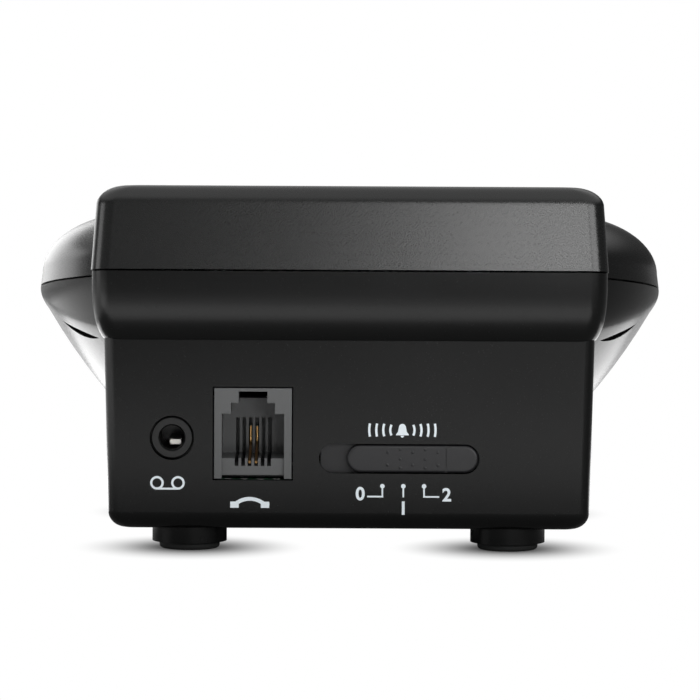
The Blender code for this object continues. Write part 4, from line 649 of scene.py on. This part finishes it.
def contact_wire(name, x, floor):
    """A spring wire that lies in its slot, rises over the floor and turns up the back."""
    path = ((-0.0009, -0.0006), (-0.0018, -0.0004), (-0.0031, 0.0), (-0.0061, 0.00066), (-0.0095, 0.00108))
    path += ((-0.0102, 0.0012), (-0.01065, 0.0015), (-0.0108, 0.0021), (-0.0108, 0.0042))
    curve = bpy.data.curves.new(name, "CURVE")
    curve.dimensions = "3D"
    curve.bevel_depth = 0.00022
    curve.bevel_resolution = 3
    curve.use_fill_caps = True
    spline = curve.splines.new("POLY")
    spline.points.add(len(path) - 1)
    for point, (y, z) in zip(spline.points, path):
        point.co = (x, y, floor + z, 1)
    made = bpy.data.objects.new(name, curve)
    bpy.context.scene.collection.objects.link(made)
    only(made)
    bpy.ops.object.convert(target="MESH")
    made = bpy.context.object
    bpy.ops.object.shade_smooth()
    return made


def metal(name, colour, roughness, fine=3000, streaks=False):
    """Plated metal with fine scratches and patches of tarnish."""
    material, shade, shader = new_material(name, colour, Metallic=1.0)
    patch = shade.noise(260, 3)
    scratch = shade.noise(fine, 2)
    if streaks:
        where = shade.node("ShaderNodeMapping", {}, {0: shade.node("ShaderNodeTexCoord", output=3), 3: (0.1, 1, 1)})
        scratch = shade.node("ShaderNodeTexNoise", {}, {"Vector": where, "Scale": fine, "Detail": 2.0})
    dull = tuple(value * 0.72 for value in colour)
    feed(
        material,
        shader,
        Base_Color=patch.tint(dull, colour),
        Roughness=roughness + 0.16 * (scratch - 0.4) + 0.08 * patch,
        Normal=scratch.bumps(0.12, 0.00003),
    )
    return material


def placed(made, matrix):
    made.matrix_world = matrix @ made.matrix_world
    return settle(made)


gilt = metal("gilt_wire", (0.66, 0.38, 0.15), 0.3)
jack_grey = moulded("jack_grey", (0.083, 0.085, 0.086), 0.42, 0.06, 3600, 0.12, 0.45, 0.08)
jack_black = moulded("jack_black", 0.011, 0.36, 0.06, 3600, 0.1, 0.45)
line_place = Matrix.Translation((0.0151, WALL_Y - 0.0001, 0.01175))
made = modular_jack("line_jack_housing", 0.01223, 0.01434, 0.0032, (0.0098, 0.0070), (0.0069, 0.0017), (0.0045, 0.0018), 6)
finish_piece(smooth(placed(made, line_place)), [jack_grey], "jack_grey", "base", "line_jack")
for number, way in enumerate((-0.5, 0.5)):
    made = placed(contact_wire(f"line_wire_{number + 1}", way * 0.00102, 0.0032), line_place)
    finish_piece(made, [gilt], "gilt_wire", "base", f"line_contact_{number + 1}")
low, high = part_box("headset_jack")
headset_place = Matrix.Translation((low.x, (low.y + high.y) / 2, low.z)) @ Matrix.Rotation(math.pi / 2, 4, "Z")
made = modular_jack("headset_jack_housing", 0.0103, 0.0121, 0.0024, (0.0077, 0.0064), (0.0052, 0.0011), (0.0031, 0.0012), 4)
finish_piece(smooth(placed(made, headset_place)), [jack_black], "jack_black", "base", "headset_jack")
for number in range(4):
    made = placed(contact_wire(f"headset_wire_{number + 1}", (number - 1.5) * 0.00102, 0.0024), headset_place)
    finish_piece(made, [gilt], "gilt_wire", "base", f"headset_contact_{number + 1}")

# The recording jack: a 3.5 mm socket whose satin black collar stands in its own hole in the wall. A silvered leaf
# spring shows at the bottom of the bore.
collar = cylinder("rec_jack_socket", 0.0033, -0.0045, -0.0006, sides=72)
pick(collar, "FACE", lambda face: face.normal.z > 0.9)
for now, before, rise in ((0.00325, 0.0033, 0.0001), (0.0031, 0.00325, 0.0001)):
    bpy.ops.mesh.extrude_region_move(TRANSFORM_OT_translate={"value": (0, 0, rise)})
    bpy.ops.transform.resize(value=(now / before, now / before, 1), center_override=(0, 0, 0))
close_edit()
on_wall(collar, REC_X, REC_Z)
low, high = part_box("rec_jack")
body = block("rec_jack_body", (low.x, low.y, low.z), (high.x, WALL_Y - CASE_WALL - 0.0003, high.z))
combine(collar, body, "UNION")
combine(collar, on_wall(cylinder("bore", 0.0019, -0.0104, 0.002, sides=64), REC_X, REC_Z), "DIFFERENCE")
cone = tower(ring_of("lead_in", 0.0019, 64), (0, 0), [(1, 1, -0.0008), (1.16, 1.16, -0.0003)])
combine(collar, on_wall(cone, REC_X, REC_Z), "DIFFERENCE")
low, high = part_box("rec_contact")
slot = block("slot", (low.x - 0.0002, low.y, low.z - 0.0002), (high.x + 0.0002, low.y + 0.003, low.z + 0.0005))
combine(collar, slot, "DIFFERENCE")
finish_piece(smooth(collar), [moulded("collar_black", 0.0075, 0.3, 0.05, 3600, 0.08, 0.3)], "jack_black", "base", "rec_jack")
low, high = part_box("rec_contact")
leaf = block("rec_contact_leaf", tuple(low), tuple(high))
pick(leaf, "VERT", lambda vertex: vertex.co.y > high.y - 0.0001)
bpy.ops.transform.translate(value=(0, 0, REC_Z - 0.0005 - high.z))
close_edit()
tip = block("tip", (REC_X - 0.00138, high.y - 0.0005, REC_Z - 0.00122), (REC_X + 0.0001, high.y, REC_Z - 0.0005))
smooth(combine(leaf, tip, "UNION"), 35, 0.00008)
silvered = metal("silvered_spring", (0.62, 0.61, 0.57), 0.3, 2400, True)
finish_piece(leaf, [silvered], "silvered_spring", "base", "rec_contact")


# The ringer slider: a long black pad with raised grip dots and a joint line, in one with the plate behind the wall. A
# fork on its back moves the slide switch's lever.
def knob_dot(x, z):
    dot = tower(ring_of("dot", 0.00026, 16), (0, 0), [(1, 1, -0.0001), (0.9, 0.9, 0.00005), (0.5, 0.5, 0.0001)])
    dot.location = (x, z, 0.0001)
    return settle(dot)


KNOB_X = -0.0100
knob = slot_bar("ringer_knob", 0.0206, 0.0043, -0.0027, -0.0003)
pick(knob, "FACE", lambda face: face.normal.z > 0.9)
for step in range(1, 6):
    before, now = (0.0004 * (1 - math.cos(math.pi / 2 * value / 5)) for value in (step - 1, step))
    rise = 0.0004 * (math.sin(math.pi / 2 * step / 5) - math.sin(math.pi / 2 * (step - 1) / 5))
    size = ((0.0103 - now) / (0.0103 - before), (0.00215 - now) / (0.00215 - before), 1)
    bpy.ops.mesh.extrude_region_move(TRANSFORM_OT_translate={"value": (0, 0, rise)})
    bpy.ops.transform.resize(value=size, center_override=(0, 0, 0))
close_edit()
combine(knob, block("joint_line", (0.00515, -0.003, -0.0001), (0.00535, 0.003, 0.001)), "DIFFERENCE")
dots = [knob_dot(x, z) for x in (-0.00395, 0.0, 0.00395) for z in (-0.00095, 0.00105)]
dots += [knob_dot(x, z) for x in (-0.00197, 0.00197) for z in (-0.0014, 0.0, 0.0015)]
smooth(gather(knob, dots))
on_wall(knob, KNOB_X, SLOT_Z)
low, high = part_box("ringer_slider")
rear = WALL_Y - CASE_WALL - 0.0003
plate = block("plate", (low.x, rear - 0.0010, low.z), (high.x, rear, high.z))
forks = [
    block("fork", (KNOB_X + x, low.y, SLOT_Z - 0.0009), (KNOB_X + x + 0.0008, rear - 0.0006, SLOT_Z + 0.0009))
    for x in (-0.0021, 0.0013)
]
gather(knob, [smooth(piece, 32, 0.0001) for piece in (plate, *forks)])
knob_black = moulded("knob_black", (0.0098, 0.0098, 0.0112), 0.4, 0.06, 5000, 0.14, 0.42)
finish_piece(knob, [knob_black], "knob_black", "ringer_slider", "ringer_slider")
switch_black = moulded("switch_black", 0.012, 0.5, 0.06, 3000, 0.1)
for name in ("ringer_switch", "ringer_lever"):
    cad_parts[name].material_slots[0].material = switch_black


# The printing on the wall: pad-printed in pale grey ink. A bell stands over the slider, its three places are dots on
# stems marked 0, 1 and 2, two reels mark the recording jack and a handset the line jack.
def as_mesh(curve):
    """A curve or numeral as a mesh whose fronts and sides are joined."""
    only(curve)
    bpy.ops.object.convert(target="MESH")
    made = bpy.context.object
    pick(made, "VERT", lambda vertex: True)
    bpy.ops.mesh.remove_doubles(threshold=0.000002)
    close_edit()
    return outward(made)


def fused(first, others):
    """Joins flakes that overlap into one."""
    for other in others:
        combine(first, other, "UNION")
    return first


def flat_shape(name, loops, thickness=0.00004):
    """A thin flake of ink from closed outlines in millimetres. An outline inside another is a hole."""
    curve = bpy.data.curves.new(name, "CURVE")
    curve.dimensions = "2D"
    curve.fill_mode = "BOTH"
    curve.extrude = thickness / 2
    for loop in loops:
        spline = curve.splines.new("POLY")
        spline.points.add(len(loop) - 1)
        for point, (x, y) in zip(spline.points, loop):
            point.co = (x / 1000, y / 1000, 0, 1)
        spline.use_cyclic_u = True
    made = bpy.data.objects.new(name, curve)
    bpy.context.scene.collection.objects.link(made)
    return as_mesh(made)


def arc(x, y, radius, start, end, steps=20):
    turns = [math.radians(start + (end - start) * step / steps) for step in range(steps + 1)]
    return [(x + radius * math.cos(turn), y + radius * math.sin(turn)) for turn in turns]


def band(x, y, inner, outer, start, end):
    return arc(x, y, outer, start, end) + arc(x, y, inner, end, start)


def disc_loop(x, y, radius):
    return arc(x, y, radius, 0, 360, 28)[:-1]


def bar(low_x, low_y, high_x, high_y):
    return [(low_x, low_y), (high_x, low_y), (high_x, high_y), (low_x, high_y)]


def digit(text, height, weight=0.0):
    """A printed numeral, its middle at the origin."""
    curve = bpy.data.curves.new("numeral", "FONT")
    curve.body = text
    curve.size = height / 0.73
    curve.offset = weight
    curve.extrude = 0.00002
    curve.resolution_u = 4
    made = bpy.data.objects.new("numeral", curve)
    bpy.context.scene.collection.objects.link(made)
    made = as_mesh(made)
    bpy.ops.object.origin_set(type="ORIGIN_GEOMETRY", center="BOUNDS")
    made.location = (0, 0, 0)
    return made


def shifted(made, x, y):
    made.location = (x / 1000, y / 1000, 0)
    return settle(made)


def handset(size):
    """A handset lying on its back: a curved bar with a block at each end."""
    grip = band(0, -3.3 * size, 3.35 * size, 3.95 * size, 48, 132)
    ends = [bar(side * 2.45 * size - 0.68 * size, -1.1 * size, side * 2.45 * size + 0.68 * size, -0.1 * size) for side in (1, -1)]
    return fused(flat_shape("grip", [grip]), [flat_shape("end", [loop]) for loop in ends])


bell_side = [(0.0, 1.05), (0.28, 0.98), (0.52, 0.68), (0.62, 0.2), (0.7, -0.25), (1.0, -0.62), (1.0, -0.76)]
bell = flat_shape("bell", [bell_side + [(-x, y) for x, y in reversed(bell_side)]])
ringing = [flat_shape("clapper", [arc(0, -0.84, 0.27, 180, 360)])]
for reach, tall in ((1.9, 26), (3.0, 19), (4.1, 14.5), (5.2, 11.5)):
    for way in (0, 180):
        ringing.append(flat_shape("ring", [band(0, 0.05, reach - 0.18, reach + 0.18, way - tall, way + tall)]))
shifted(gather(bell, ringing), 0.47, 4.5)
ink = []
for place, text, text_x, text_z, elbow in (
    (-2.62, "0", -6.1, -5.5, -1),
    (0.67, "1", 0.67, -7.75, 0),
    (3.92, "2", 7.5, -5.6, 1),
):
    lines = [flat_shape("stem", [bar(place - 0.13, -6.05, place + 0.13, -4.2)])]
    if elbow:
        ends = sorted((place - 0.13 * elbow, place + 2.4 * elbow))
        lines.append(flat_shape("elbow", [bar(ends[0], -6.08, ends[1], -5.82)]))
    ink.append(fused(flat_shape("dot", [disc_loop(place, -4.3, 0.36)]), lines))
    ink.append(shifted(digit(text, 0.0021, 0.00008), text_x, text_z))
gather(bell, ink)
bell.name = "ringer_scale"
ink_white, shade, shader = new_material("ink_white", (0.58, 0.66, 0.72))
ink_cloud = shade.noise(900, 3)
feed(
    ink_white,
    shader,
    Base_Color=ink_cloud.tint((0.72, 0.79, 0.83), (0.82, 0.88, 0.92)),
    Roughness=0.5 + 0.15 * ink_cloud,
)
finish_piece(on_wall(bell, SLOT_X, SLOT_Z, 0.00001), [ink_white], "key_grey", "base")
reels = flat_shape("rec_mark", [disc_loop(-1.65, 0, 1.07), disc_loop(-1.65, 0, 0.72)])
others = [flat_shape("reel", [disc_loop(1.65, 0, 1.07), disc_loop(1.65, 0, 0.72)])]
others.append(flat_shape("tape", [bar(-1.65, -1.07, 1.65, -0.76)]))
finish_piece(on_wall(fused(reels, others), 0.02848, 0.0111, 0.00001), [ink_white], "key_grey", "base")
mark = handset(0.98)
mark.name = "line_mark"
finish_piece(on_wall(mark, 0.01554, 0.0083, 0.00001), [ink_white], "key_grey", "base")

# On the main board: the line transformer with its laminated core, an electrolytic capacitor in its sleeve and the
# dialling chip. The piezo sounder is glued to the case's floor.
def striped(name, first, second, pitch, axis, roughness, metallic=0.0):
    material, shade, shader = new_material(name, first, Metallic=metallic)
    place = shade.place()[axis]
    stripe = place.line(pitch, 0.55)
    cloud = shade.noise(600, 3)
    feed(
        material,
        shader,
        Base_Color=(0.8 * stripe + 0.2 * cloud).tint(first, second),
        Roughness=roughness + 0.12 * cloud,
        Normal=stripe.bumps(0.3, 0.00003),
    )
    return material


for name, material in (
    ("line_transformer", striped("laminations", (0.05, 0.045, 0.04), (0.2, 0.18, 0.16), 0.0005, 2, 0.4, 0.7)),
    ("capacitor", striped("sleeve", (0.02, 0.03, 0.09), (0.035, 0.05, 0.14), 0.004, 2, 0.35)),
    ("dial_chip", moulded("chip_black", 0.018, 0.55, 0.08, 5200, 0.3)),
    ("sounder", moulded("sounder_black", 0.014, 0.42, 0.06, 3000, 0.1)),
    ("ribbon_cable", striped("ribbon_grey", (0.32, 0.33, 0.34), (0.5, 0.51, 0.52), 0.00127, 0, 0.45)),
    ("volume_pot", moulded("pot_black", 0.016, 0.45, 0.06, 3000, 0.1)),
):
    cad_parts[name].material_slots[0].material = material

# The top cover: the round cover and the raised block in one black moulding, screwed to the lower case from below.
# Its flat top is recessed for the face plate.
COVER_TOP = 0.0117
PLATE_RADIUS = 0.0310
PLATE_TOP = COVER_TOP + 0.0003
PLATE_BOTTOM = PLATE_TOP - 0.0016


def on_face(made, x=0.0, row=0.0):
    """Tips a piece that was made upright at the origin into the tilted face."""
    return placed(made, FACE @ Matrix.Translation((x, row, 0)))


def round_cover(name, wall, top_wall, low, flat_y):
    edge = BODY_RADIUS - 0.0003 - wall
    heights = [(BODY_RADIUS - wall, low), (BODY_RADIUS - wall, 0.0), (edge, 0.0025)]
    for step in range(1, 21):
        angle = math.pi / 2 * step / 20
        rise = (COVER_TOP - top_wall - 0.0025) * math.sin(angle)
        heights.append((edge - 0.0140 * (1 - math.cos(angle)), 0.0025 + rise))
    rings = [(radius, radius, height) for radius, height in heights]
    return on_face(tower(ring_of(name, rings[0][0], 144), (0, 0), rings, flat_y))


def block_top(drop):
    return lambda y: 0.0581 + (y - rear_y) * math.tan(math.radians(5.0)) - drop


def raised_block(inset):
    """Straight sides, then a little draft, and a round edge that is wider at the sides than behind."""
    half_x, half_y = BASE_HALF + OVERHANG + 0.00015, 0.0090
    if inset:
        draft = inset + 0.0008
        rings = [(half_x - inset, half_y - inset, along_part(-2 * OVER)), (half_x - draft, half_y - draft, block_top(0.0031))]
        rings.append((half_x - draft - 0.0049, half_y - draft - 0.0024, block_top(inset)))
    else:
        rings = [(half_x, half_y, along_part(-OVER)), (half_x, half_y, along_part(0.0003))]
        for step in range(13):
            angle = math.pi / 2 * step / 12
            side, rear = (0.0008 + reach * (1 - math.cos(angle)) for reach in (0.0049, 0.0024))
            rings.append((half_x - side, half_y - rear, block_top(0.0031 * (1 - math.sin(angle)))))
    centre_y = rear_y - half_y
    low, high = (-rings[0][0], centre_y - rings[0][1]), (rings[0][0], centre_y + rings[0][1])
    return tower(outline("raised_block", low, high, 0.003, 0.003, 10), (0, centre_y), rings)


cover = round_cover("top_cover_moulding", 0, 0, -OVER, (0.0460 - 0.001) / math.cos(TILT))
combine(cover, raised_block(0), "UNION")
combine(cover, round_cover("hollow", 0.0020, 0.0028, -2 * OVER, (0.0460 - 0.004) / math.cos(TILT)), "DIFFERENCE")
combine(cover, raised_block(0.0020), "DIFFERENCE")
recess = cylinder("recess", PLATE_RADIUS + 0.0002, PLATE_BOTTOM - 0.0003, COVER_TOP + OVER, sides=144)
combine(cover, on_face(recess, 0, -PLATE_SHIFT), "DIFFERENCE")
opening = cylinder("opening", PLATE_RADIUS - 0.0017, 0.006, COVER_TOP, sides=144)
combine(cover, on_face(opening, 0, -PLATE_SHIFT), "DIFFERENCE")
for place in case_posts:
    post = tower(ring_of("post", 0.0028, 32, place), place, [(1, 1, 0.03), (1, 1, along_part(0.0093))])
    combine(cover, post, "UNION")
pick(cover, "FACE", lambda face: True)
gap_plane = FACE @ Vector((0, 0, 0.0003))
bpy.ops.mesh.bisect(plane_co=gap_plane, plane_no=-FACE_UP, use_fill=True, clear_outer=True)
close_edit()
for place in case_posts:
    pilot = tower(ring_of("pilot", 0.0014, 24, place), place, [(1, 1, 0.03), (1, 1, along_part(0.0063))])
    combine(cover, pilot, "DIFFERENCE")
smooth(cover, 30)
finish_piece(cover, [moulded("cover_black", 0.0062, 0.27, 0.04, 8000, 0.025)], "black_abs", "base", "top_cover")


# The face plate: a satin grey disc let into the cover, with an opening for each key, the lamp and the wheel. Two of
# its posts carry the key board.
def key_outline(name, half_x, half_y, corner):
    return outline(name, (-half_x, -half_y), (half_x, half_y), corner, corner, 6)


KEYS = {}
for row, names in enumerate((("1", "2", "3"), ("4", "5", "6"), ("7", "8", "9"), ("star", "0", "hash"))):
    for column, name in enumerate(names):
        KEYS["key_" + name] = ((column - 1) * 0.01302, 0.01451 - 0.01051 * row, 0.00499, 0.00369, 0.00266)
KEYS["flash_key"] = (-0.02319, 0.00440, 0.00310, 0.00279, 0.00257)
KEYS["redial_key"] = (-0.02319, -0.00440, 0.00310, 0.00279, 0.00257)
KEYS["mute_key"] = (0.02319, -0.00440, 0.00310, 0.00279, 0.00257)
KEYS["talk_key"] = (0.0, -0.02759, 0.00849, 0.00329, 0.00302)
plate = cylinder("face_plate_disc", PLATE_RADIUS, PLATE_BOTTOM, PLATE_TOP, (0, -PLATE_SHIFT), 144)
pick(plate, "EDGE", lambda edge: min(vertex.co.z for vertex in edge.verts) > PLATE_TOP - 0.0001)
bpy.ops.mesh.bevel(offset=0.0003, segments=3, affect="EDGES")
close_edit()
for x, row, half_x, half_y, corner in KEYS.values():
    rings = [(half_x + 0.0003, half_y + 0.0003, height) for height in (PLATE_BOTTOM - OVER, PLATE_TOP - 0.00015)]
    rings.append((half_x + 0.0003, half_y + 0.0003, PLATE_TOP - 0.00014))
    rings.append((half_x + 0.0005, half_y + 0.0005, PLATE_TOP + 0.0001))
    hole = tower(key_outline("hole", half_x + 0.0003, half_y + 0.0003, corner + 0.0003), (0, 0), rings)
    hole.location = (x, row, 0)
    combine(plate, settle(hole), "DIFFERENCE")
combine(plate, cylinder("hole", 0.0019, 0, 0.02, (0, 0.0222), 32), "DIFFERENCE")
slot = block("slot", (0.02201, 0.00521 - 0.0051, 0), (0.02561, 0.00521 + 0.0051, 0.02), 0.0004, 0.0004, 3)
combine(plate, slot, "DIFFERENCE")
for x, row in ((0.02139, -0.01401), (-0.02139, -0.01401), (0.0080, 0.0212), (-0.0080, 0.0212)):
    combine(plate, cylinder("post", 0.0017, 0.0060, PLATE_BOTTOM + 0.0004, (x, row), 24), "UNION")
smooth(on_face(plate), 30)
plate_grey = moulded("plate_grey", (0.10, 0.104, 0.108), 0.36, 0.05, 5200, 0.12, 0.5, 0.06)
finish_piece(plate, [plate_grey], "plate_grey", "base", "face_plate")


# The keys: caps of pale grey plastic with a shallow dish, held under the plate by a flange, and printed in black.
# Each presses its dome in the rubber mat. The talk key is blue.
def key_cap(name, half_x, half_y, corner):
    top = 0.0138
    sizes = [(0.0008, PLATE_BOTTOM - 0.0012), (0.0008, PLATE_BOTTOM - 0.0003), (0, PLATE_BOTTOM - 0.0003)]
    sizes += [(-0.0006 * (1 - math.cos(turn)), top - 0.0006 + 0.0006 * math.sin(turn)) for turn in (0, 0.4, 0.8, 1.2, 1.57)]
    sizes += [(-0.0009, top - 0.00001), (-0.0014, top - 0.00006), (-0.0019, top - 0.0001)]
    rings = [(half_x + grow, half_y + grow, height) for grow, height in sizes]
    return smooth(tower(key_outline(name, half_x + 0.0008, half_y + 0.0008, corner + 0.0008), (0, 0), rings), 40)


def key_legend(name):
    """What is printed on a key: a numeral, a star, a hash or a plain sign."""
    if name[4:].isdigit():
        return digit(name[4:], 0.0030, 0.00003)
    if name == "key_star":
        points = [(radius * math.sin(math.pi * step / 6), radius * math.cos(math.pi * step / 6)) for step, radius in enumerate((1.5, 0.55) * 6)]
        return flat_shape("star", [points])
    if name == "key_hash":
        bars = [bar(-1.3, y - 0.2, 1.3, y + 0.2) for y in (-0.5, 0.5)] + [bar(x - 0.2, -1.4, x + 0.2, 1.4) for x in (-0.5, 0.5)]
        return fused(flat_shape("bar", [bars[0]]), [flat_shape("bar", [loop]) for loop in bars[1:]])
    if name == "talk_key":
        return handset(0.75)
    if name == "mute_key":
        mike = flat_shape("mike", [arc(0, 0.35, 0.42, 0, 180, 10) + arc(0, -0.25, 0.42, 180, 360, 10)])
        slash = flat_shape("slash", [[(-1.0, 1.1), (-0.75, 1.25), (1.0, -1.1), (0.75, -1.25)]])
        return fused(mike, [slash, flat_shape("yoke", [band(0, -0.2, 0.62, 0.82, 180, 360)])])
    if name == "redial_key":
        arrow = flat_shape("arrow", [[(0.45, 0.25), (1.35, 0.25), (0.9, -0.45)]])
        return fused(flat_shape("turn", [band(0, 0, 0.75, 1.05, 15, 300)]), [arrow])
    return flat_shape("hook", [[(0.35, 1.25), (-0.75, -0.15), (-0.1, -0.15), (-0.35, -1.25), (0.75, 0.2), (0.1, 0.2)]])


key_grey = moulded("key_grey", (0.40, 0.41, 0.42), 0.4, 0.06, 5200, 0.1, 0.5, 0.04)
key_blue = moulded("key_blue", (0.03, 0.15, 0.34), 0.36, 0.06, 5200, 0.1, 0.5, 0.06)
print_black = moulded("print_black", 0.012, 0.5, 0.05, 3000, 0.05)
caps = {}
for name, (x, row, *size) in KEYS.items():
    if tuple(size) not in caps:
        caps[tuple(size)] = key_cap("key_cap", *size)
    cap = caps[tuple(size)].copy()
    cap.data = cap.data.copy()
    bpy.context.scene.collection.objects.link(cap)
    cap.name = name + "_cap"
    legend = key_legend(name)
    legend.location.z = 0.0138 - 0.00009
    settle(legend)
    for piece, material in ((cap, key_blue if name == "talk_key" else key_grey), (legend, ink_white if name == "talk_key" else print_black)):
        piece.data.materials.clear()
        piece.data.materials.append(material)
    gather(cap, [legend])
    on_face(cap, x, row)
    "key_blue" if name == "talk_key" else "key_grey"
    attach(cap, name)
    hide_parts(name)
for cap in caps.values():
    bpy.data.objects.remove(cap)

# Under the plate: a silicone mat whose sheet lies on the key board, with a dome under each key.
DOME_FOOT = PLATE_BOTTOM - 0.0034
silicone = moulded("silicone_grey", (0.50, 0.51, 0.51), 0.6, 0.08, 2400, 0.15, 0.4, 0.05)
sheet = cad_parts["key_mat"].copy()
sheet.data = sheet.data.copy()
sheet.name = "key_mat_sheet"
bpy.context.scene.collection.objects.link(sheet)
pick(sheet, "VERT", lambda vertex: True)
bpy.ops.mesh.remove_doubles(threshold=0.000001)
sheet_top = FACE @ Vector((0, 0, DOME_FOOT - 0.00002))
bpy.ops.mesh.bisect(plane_co=sheet_top, plane_no=FACE_UP, use_fill=True, clear_outer=True)
close_edit()
finish_piece(smooth(sheet), [silicone], "silicone", "base", "key_mat")
DOME = ((0.0024, 0), (0.00235, 0.0002), (0.0019, 0.0009), (0.00145, 0.0016), (0.0013, 0.0018), (0.0011, 0.0019))
for name, (x, row, *_) in KEYS.items():
    dome = tower(ring_of(name + "_dome", DOME[0][0], 24), (0, 0), [(radius, radius, DOME_FOOT + z) for radius, z in DOME])
    finish_piece(on_face(smooth(dome, 50), x, row), [silicone], "silicone", "base", "key_mat")
    name + "_press"
    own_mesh(dome)

# The line lamp's red lens stands in the plate, and the knurled volume wheel turns the potentiometer under it.
lens_red, shade, shader = new_material("lens_red", (0.5, 0.02, 0.02), Coat_Weight=0.6)
depth = shade.noise(700, 2)
feed(lens_red, shader, Base_Color=depth.tint((0.32, 0.008, 0.01), (0.6, 0.03, 0.03)), Roughness=0.12 + 0.1 * depth)
wheel_black = moulded("wheel_black", 0.012, 0.42, 0.06, 4200, 0.15)
for name, material in (("lamp_lens", lens_red), ("line_lamp", lens_red), ("volume_wheel", wheel_black)):
    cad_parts[name].material_slots[0].material = material


# The screws: zinc-plated pan heads with a cross recess and a coarse thread for plastic. Four join the case halves
# from below, two hold the main board and two the key board.
def screw(name, head, head_height, shank, length):
    """It points up, with the underside of its head at the origin."""
    rings = [(head * 0.9, -head_height), (head, -head_height * 0.6), (head, 0), (shank, 0)]
    height = 0.0006
    while height < length - 0.0012:
        rings += [(shank * 0.78, height), (shank, height + 0.0003)]
        height += 0.0006
    rings += [(shank * 0.78, length - 0.0010), (shank * 0.3, length)]
    made = tower(ring_of(name, rings[0][0], 32), (0, 0), [(radius, radius, height) for radius, height in rings])
    for long, wide in ((head * 0.55, head * 0.16), (head * 0.16, head * 0.55)):
        recess = block("recess", (-long, -wide, -head_height - 0.001), (long, wide, -head_height * 0.45))
        combine(made, recess, "DIFFERENCE")
    return smooth(made, 35)


zinc = metal("zinc_steel", (0.62, 0.63, 0.64), 0.28, 2600)
for names, size in ((screws, (0.0025, 0.0018, 0.0011, 0.0110)), (None, (0.0019, 0.0012, 0.0008, 0.0042))):
    pattern = screw("screw", *size)
    for name in names or ("main_board_screw_1", "main_board_screw_2", "key_board_screw_1", "key_board_screw_2"):
        low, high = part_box(name)
        place = Matrix.Translation(((low.x + high.x) / 2, (low.y + high.y) / 2, low.z + size[1]))
        if name.startswith("main"):
            place = Matrix.Translation((place.translation.x, place.translation.y, high.z - size[1])) @ Matrix.Rotation(math.pi, 4, "X")
        if name.startswith("key_board"):
            place = FACE @ Matrix.Translation((math.copysign(0.02139, low.x), -0.01401, 0.0042))
        made = pattern.copy()
        made.data = pattern.data.copy()
        bpy.context.scene.collection.objects.link(made)
        made.name = name + "_steel"
        finish_piece(placed(made, place), [zinc], "zinc_steel", "base", name)
    bpy.data.objects.remove(pattern)

low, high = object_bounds()
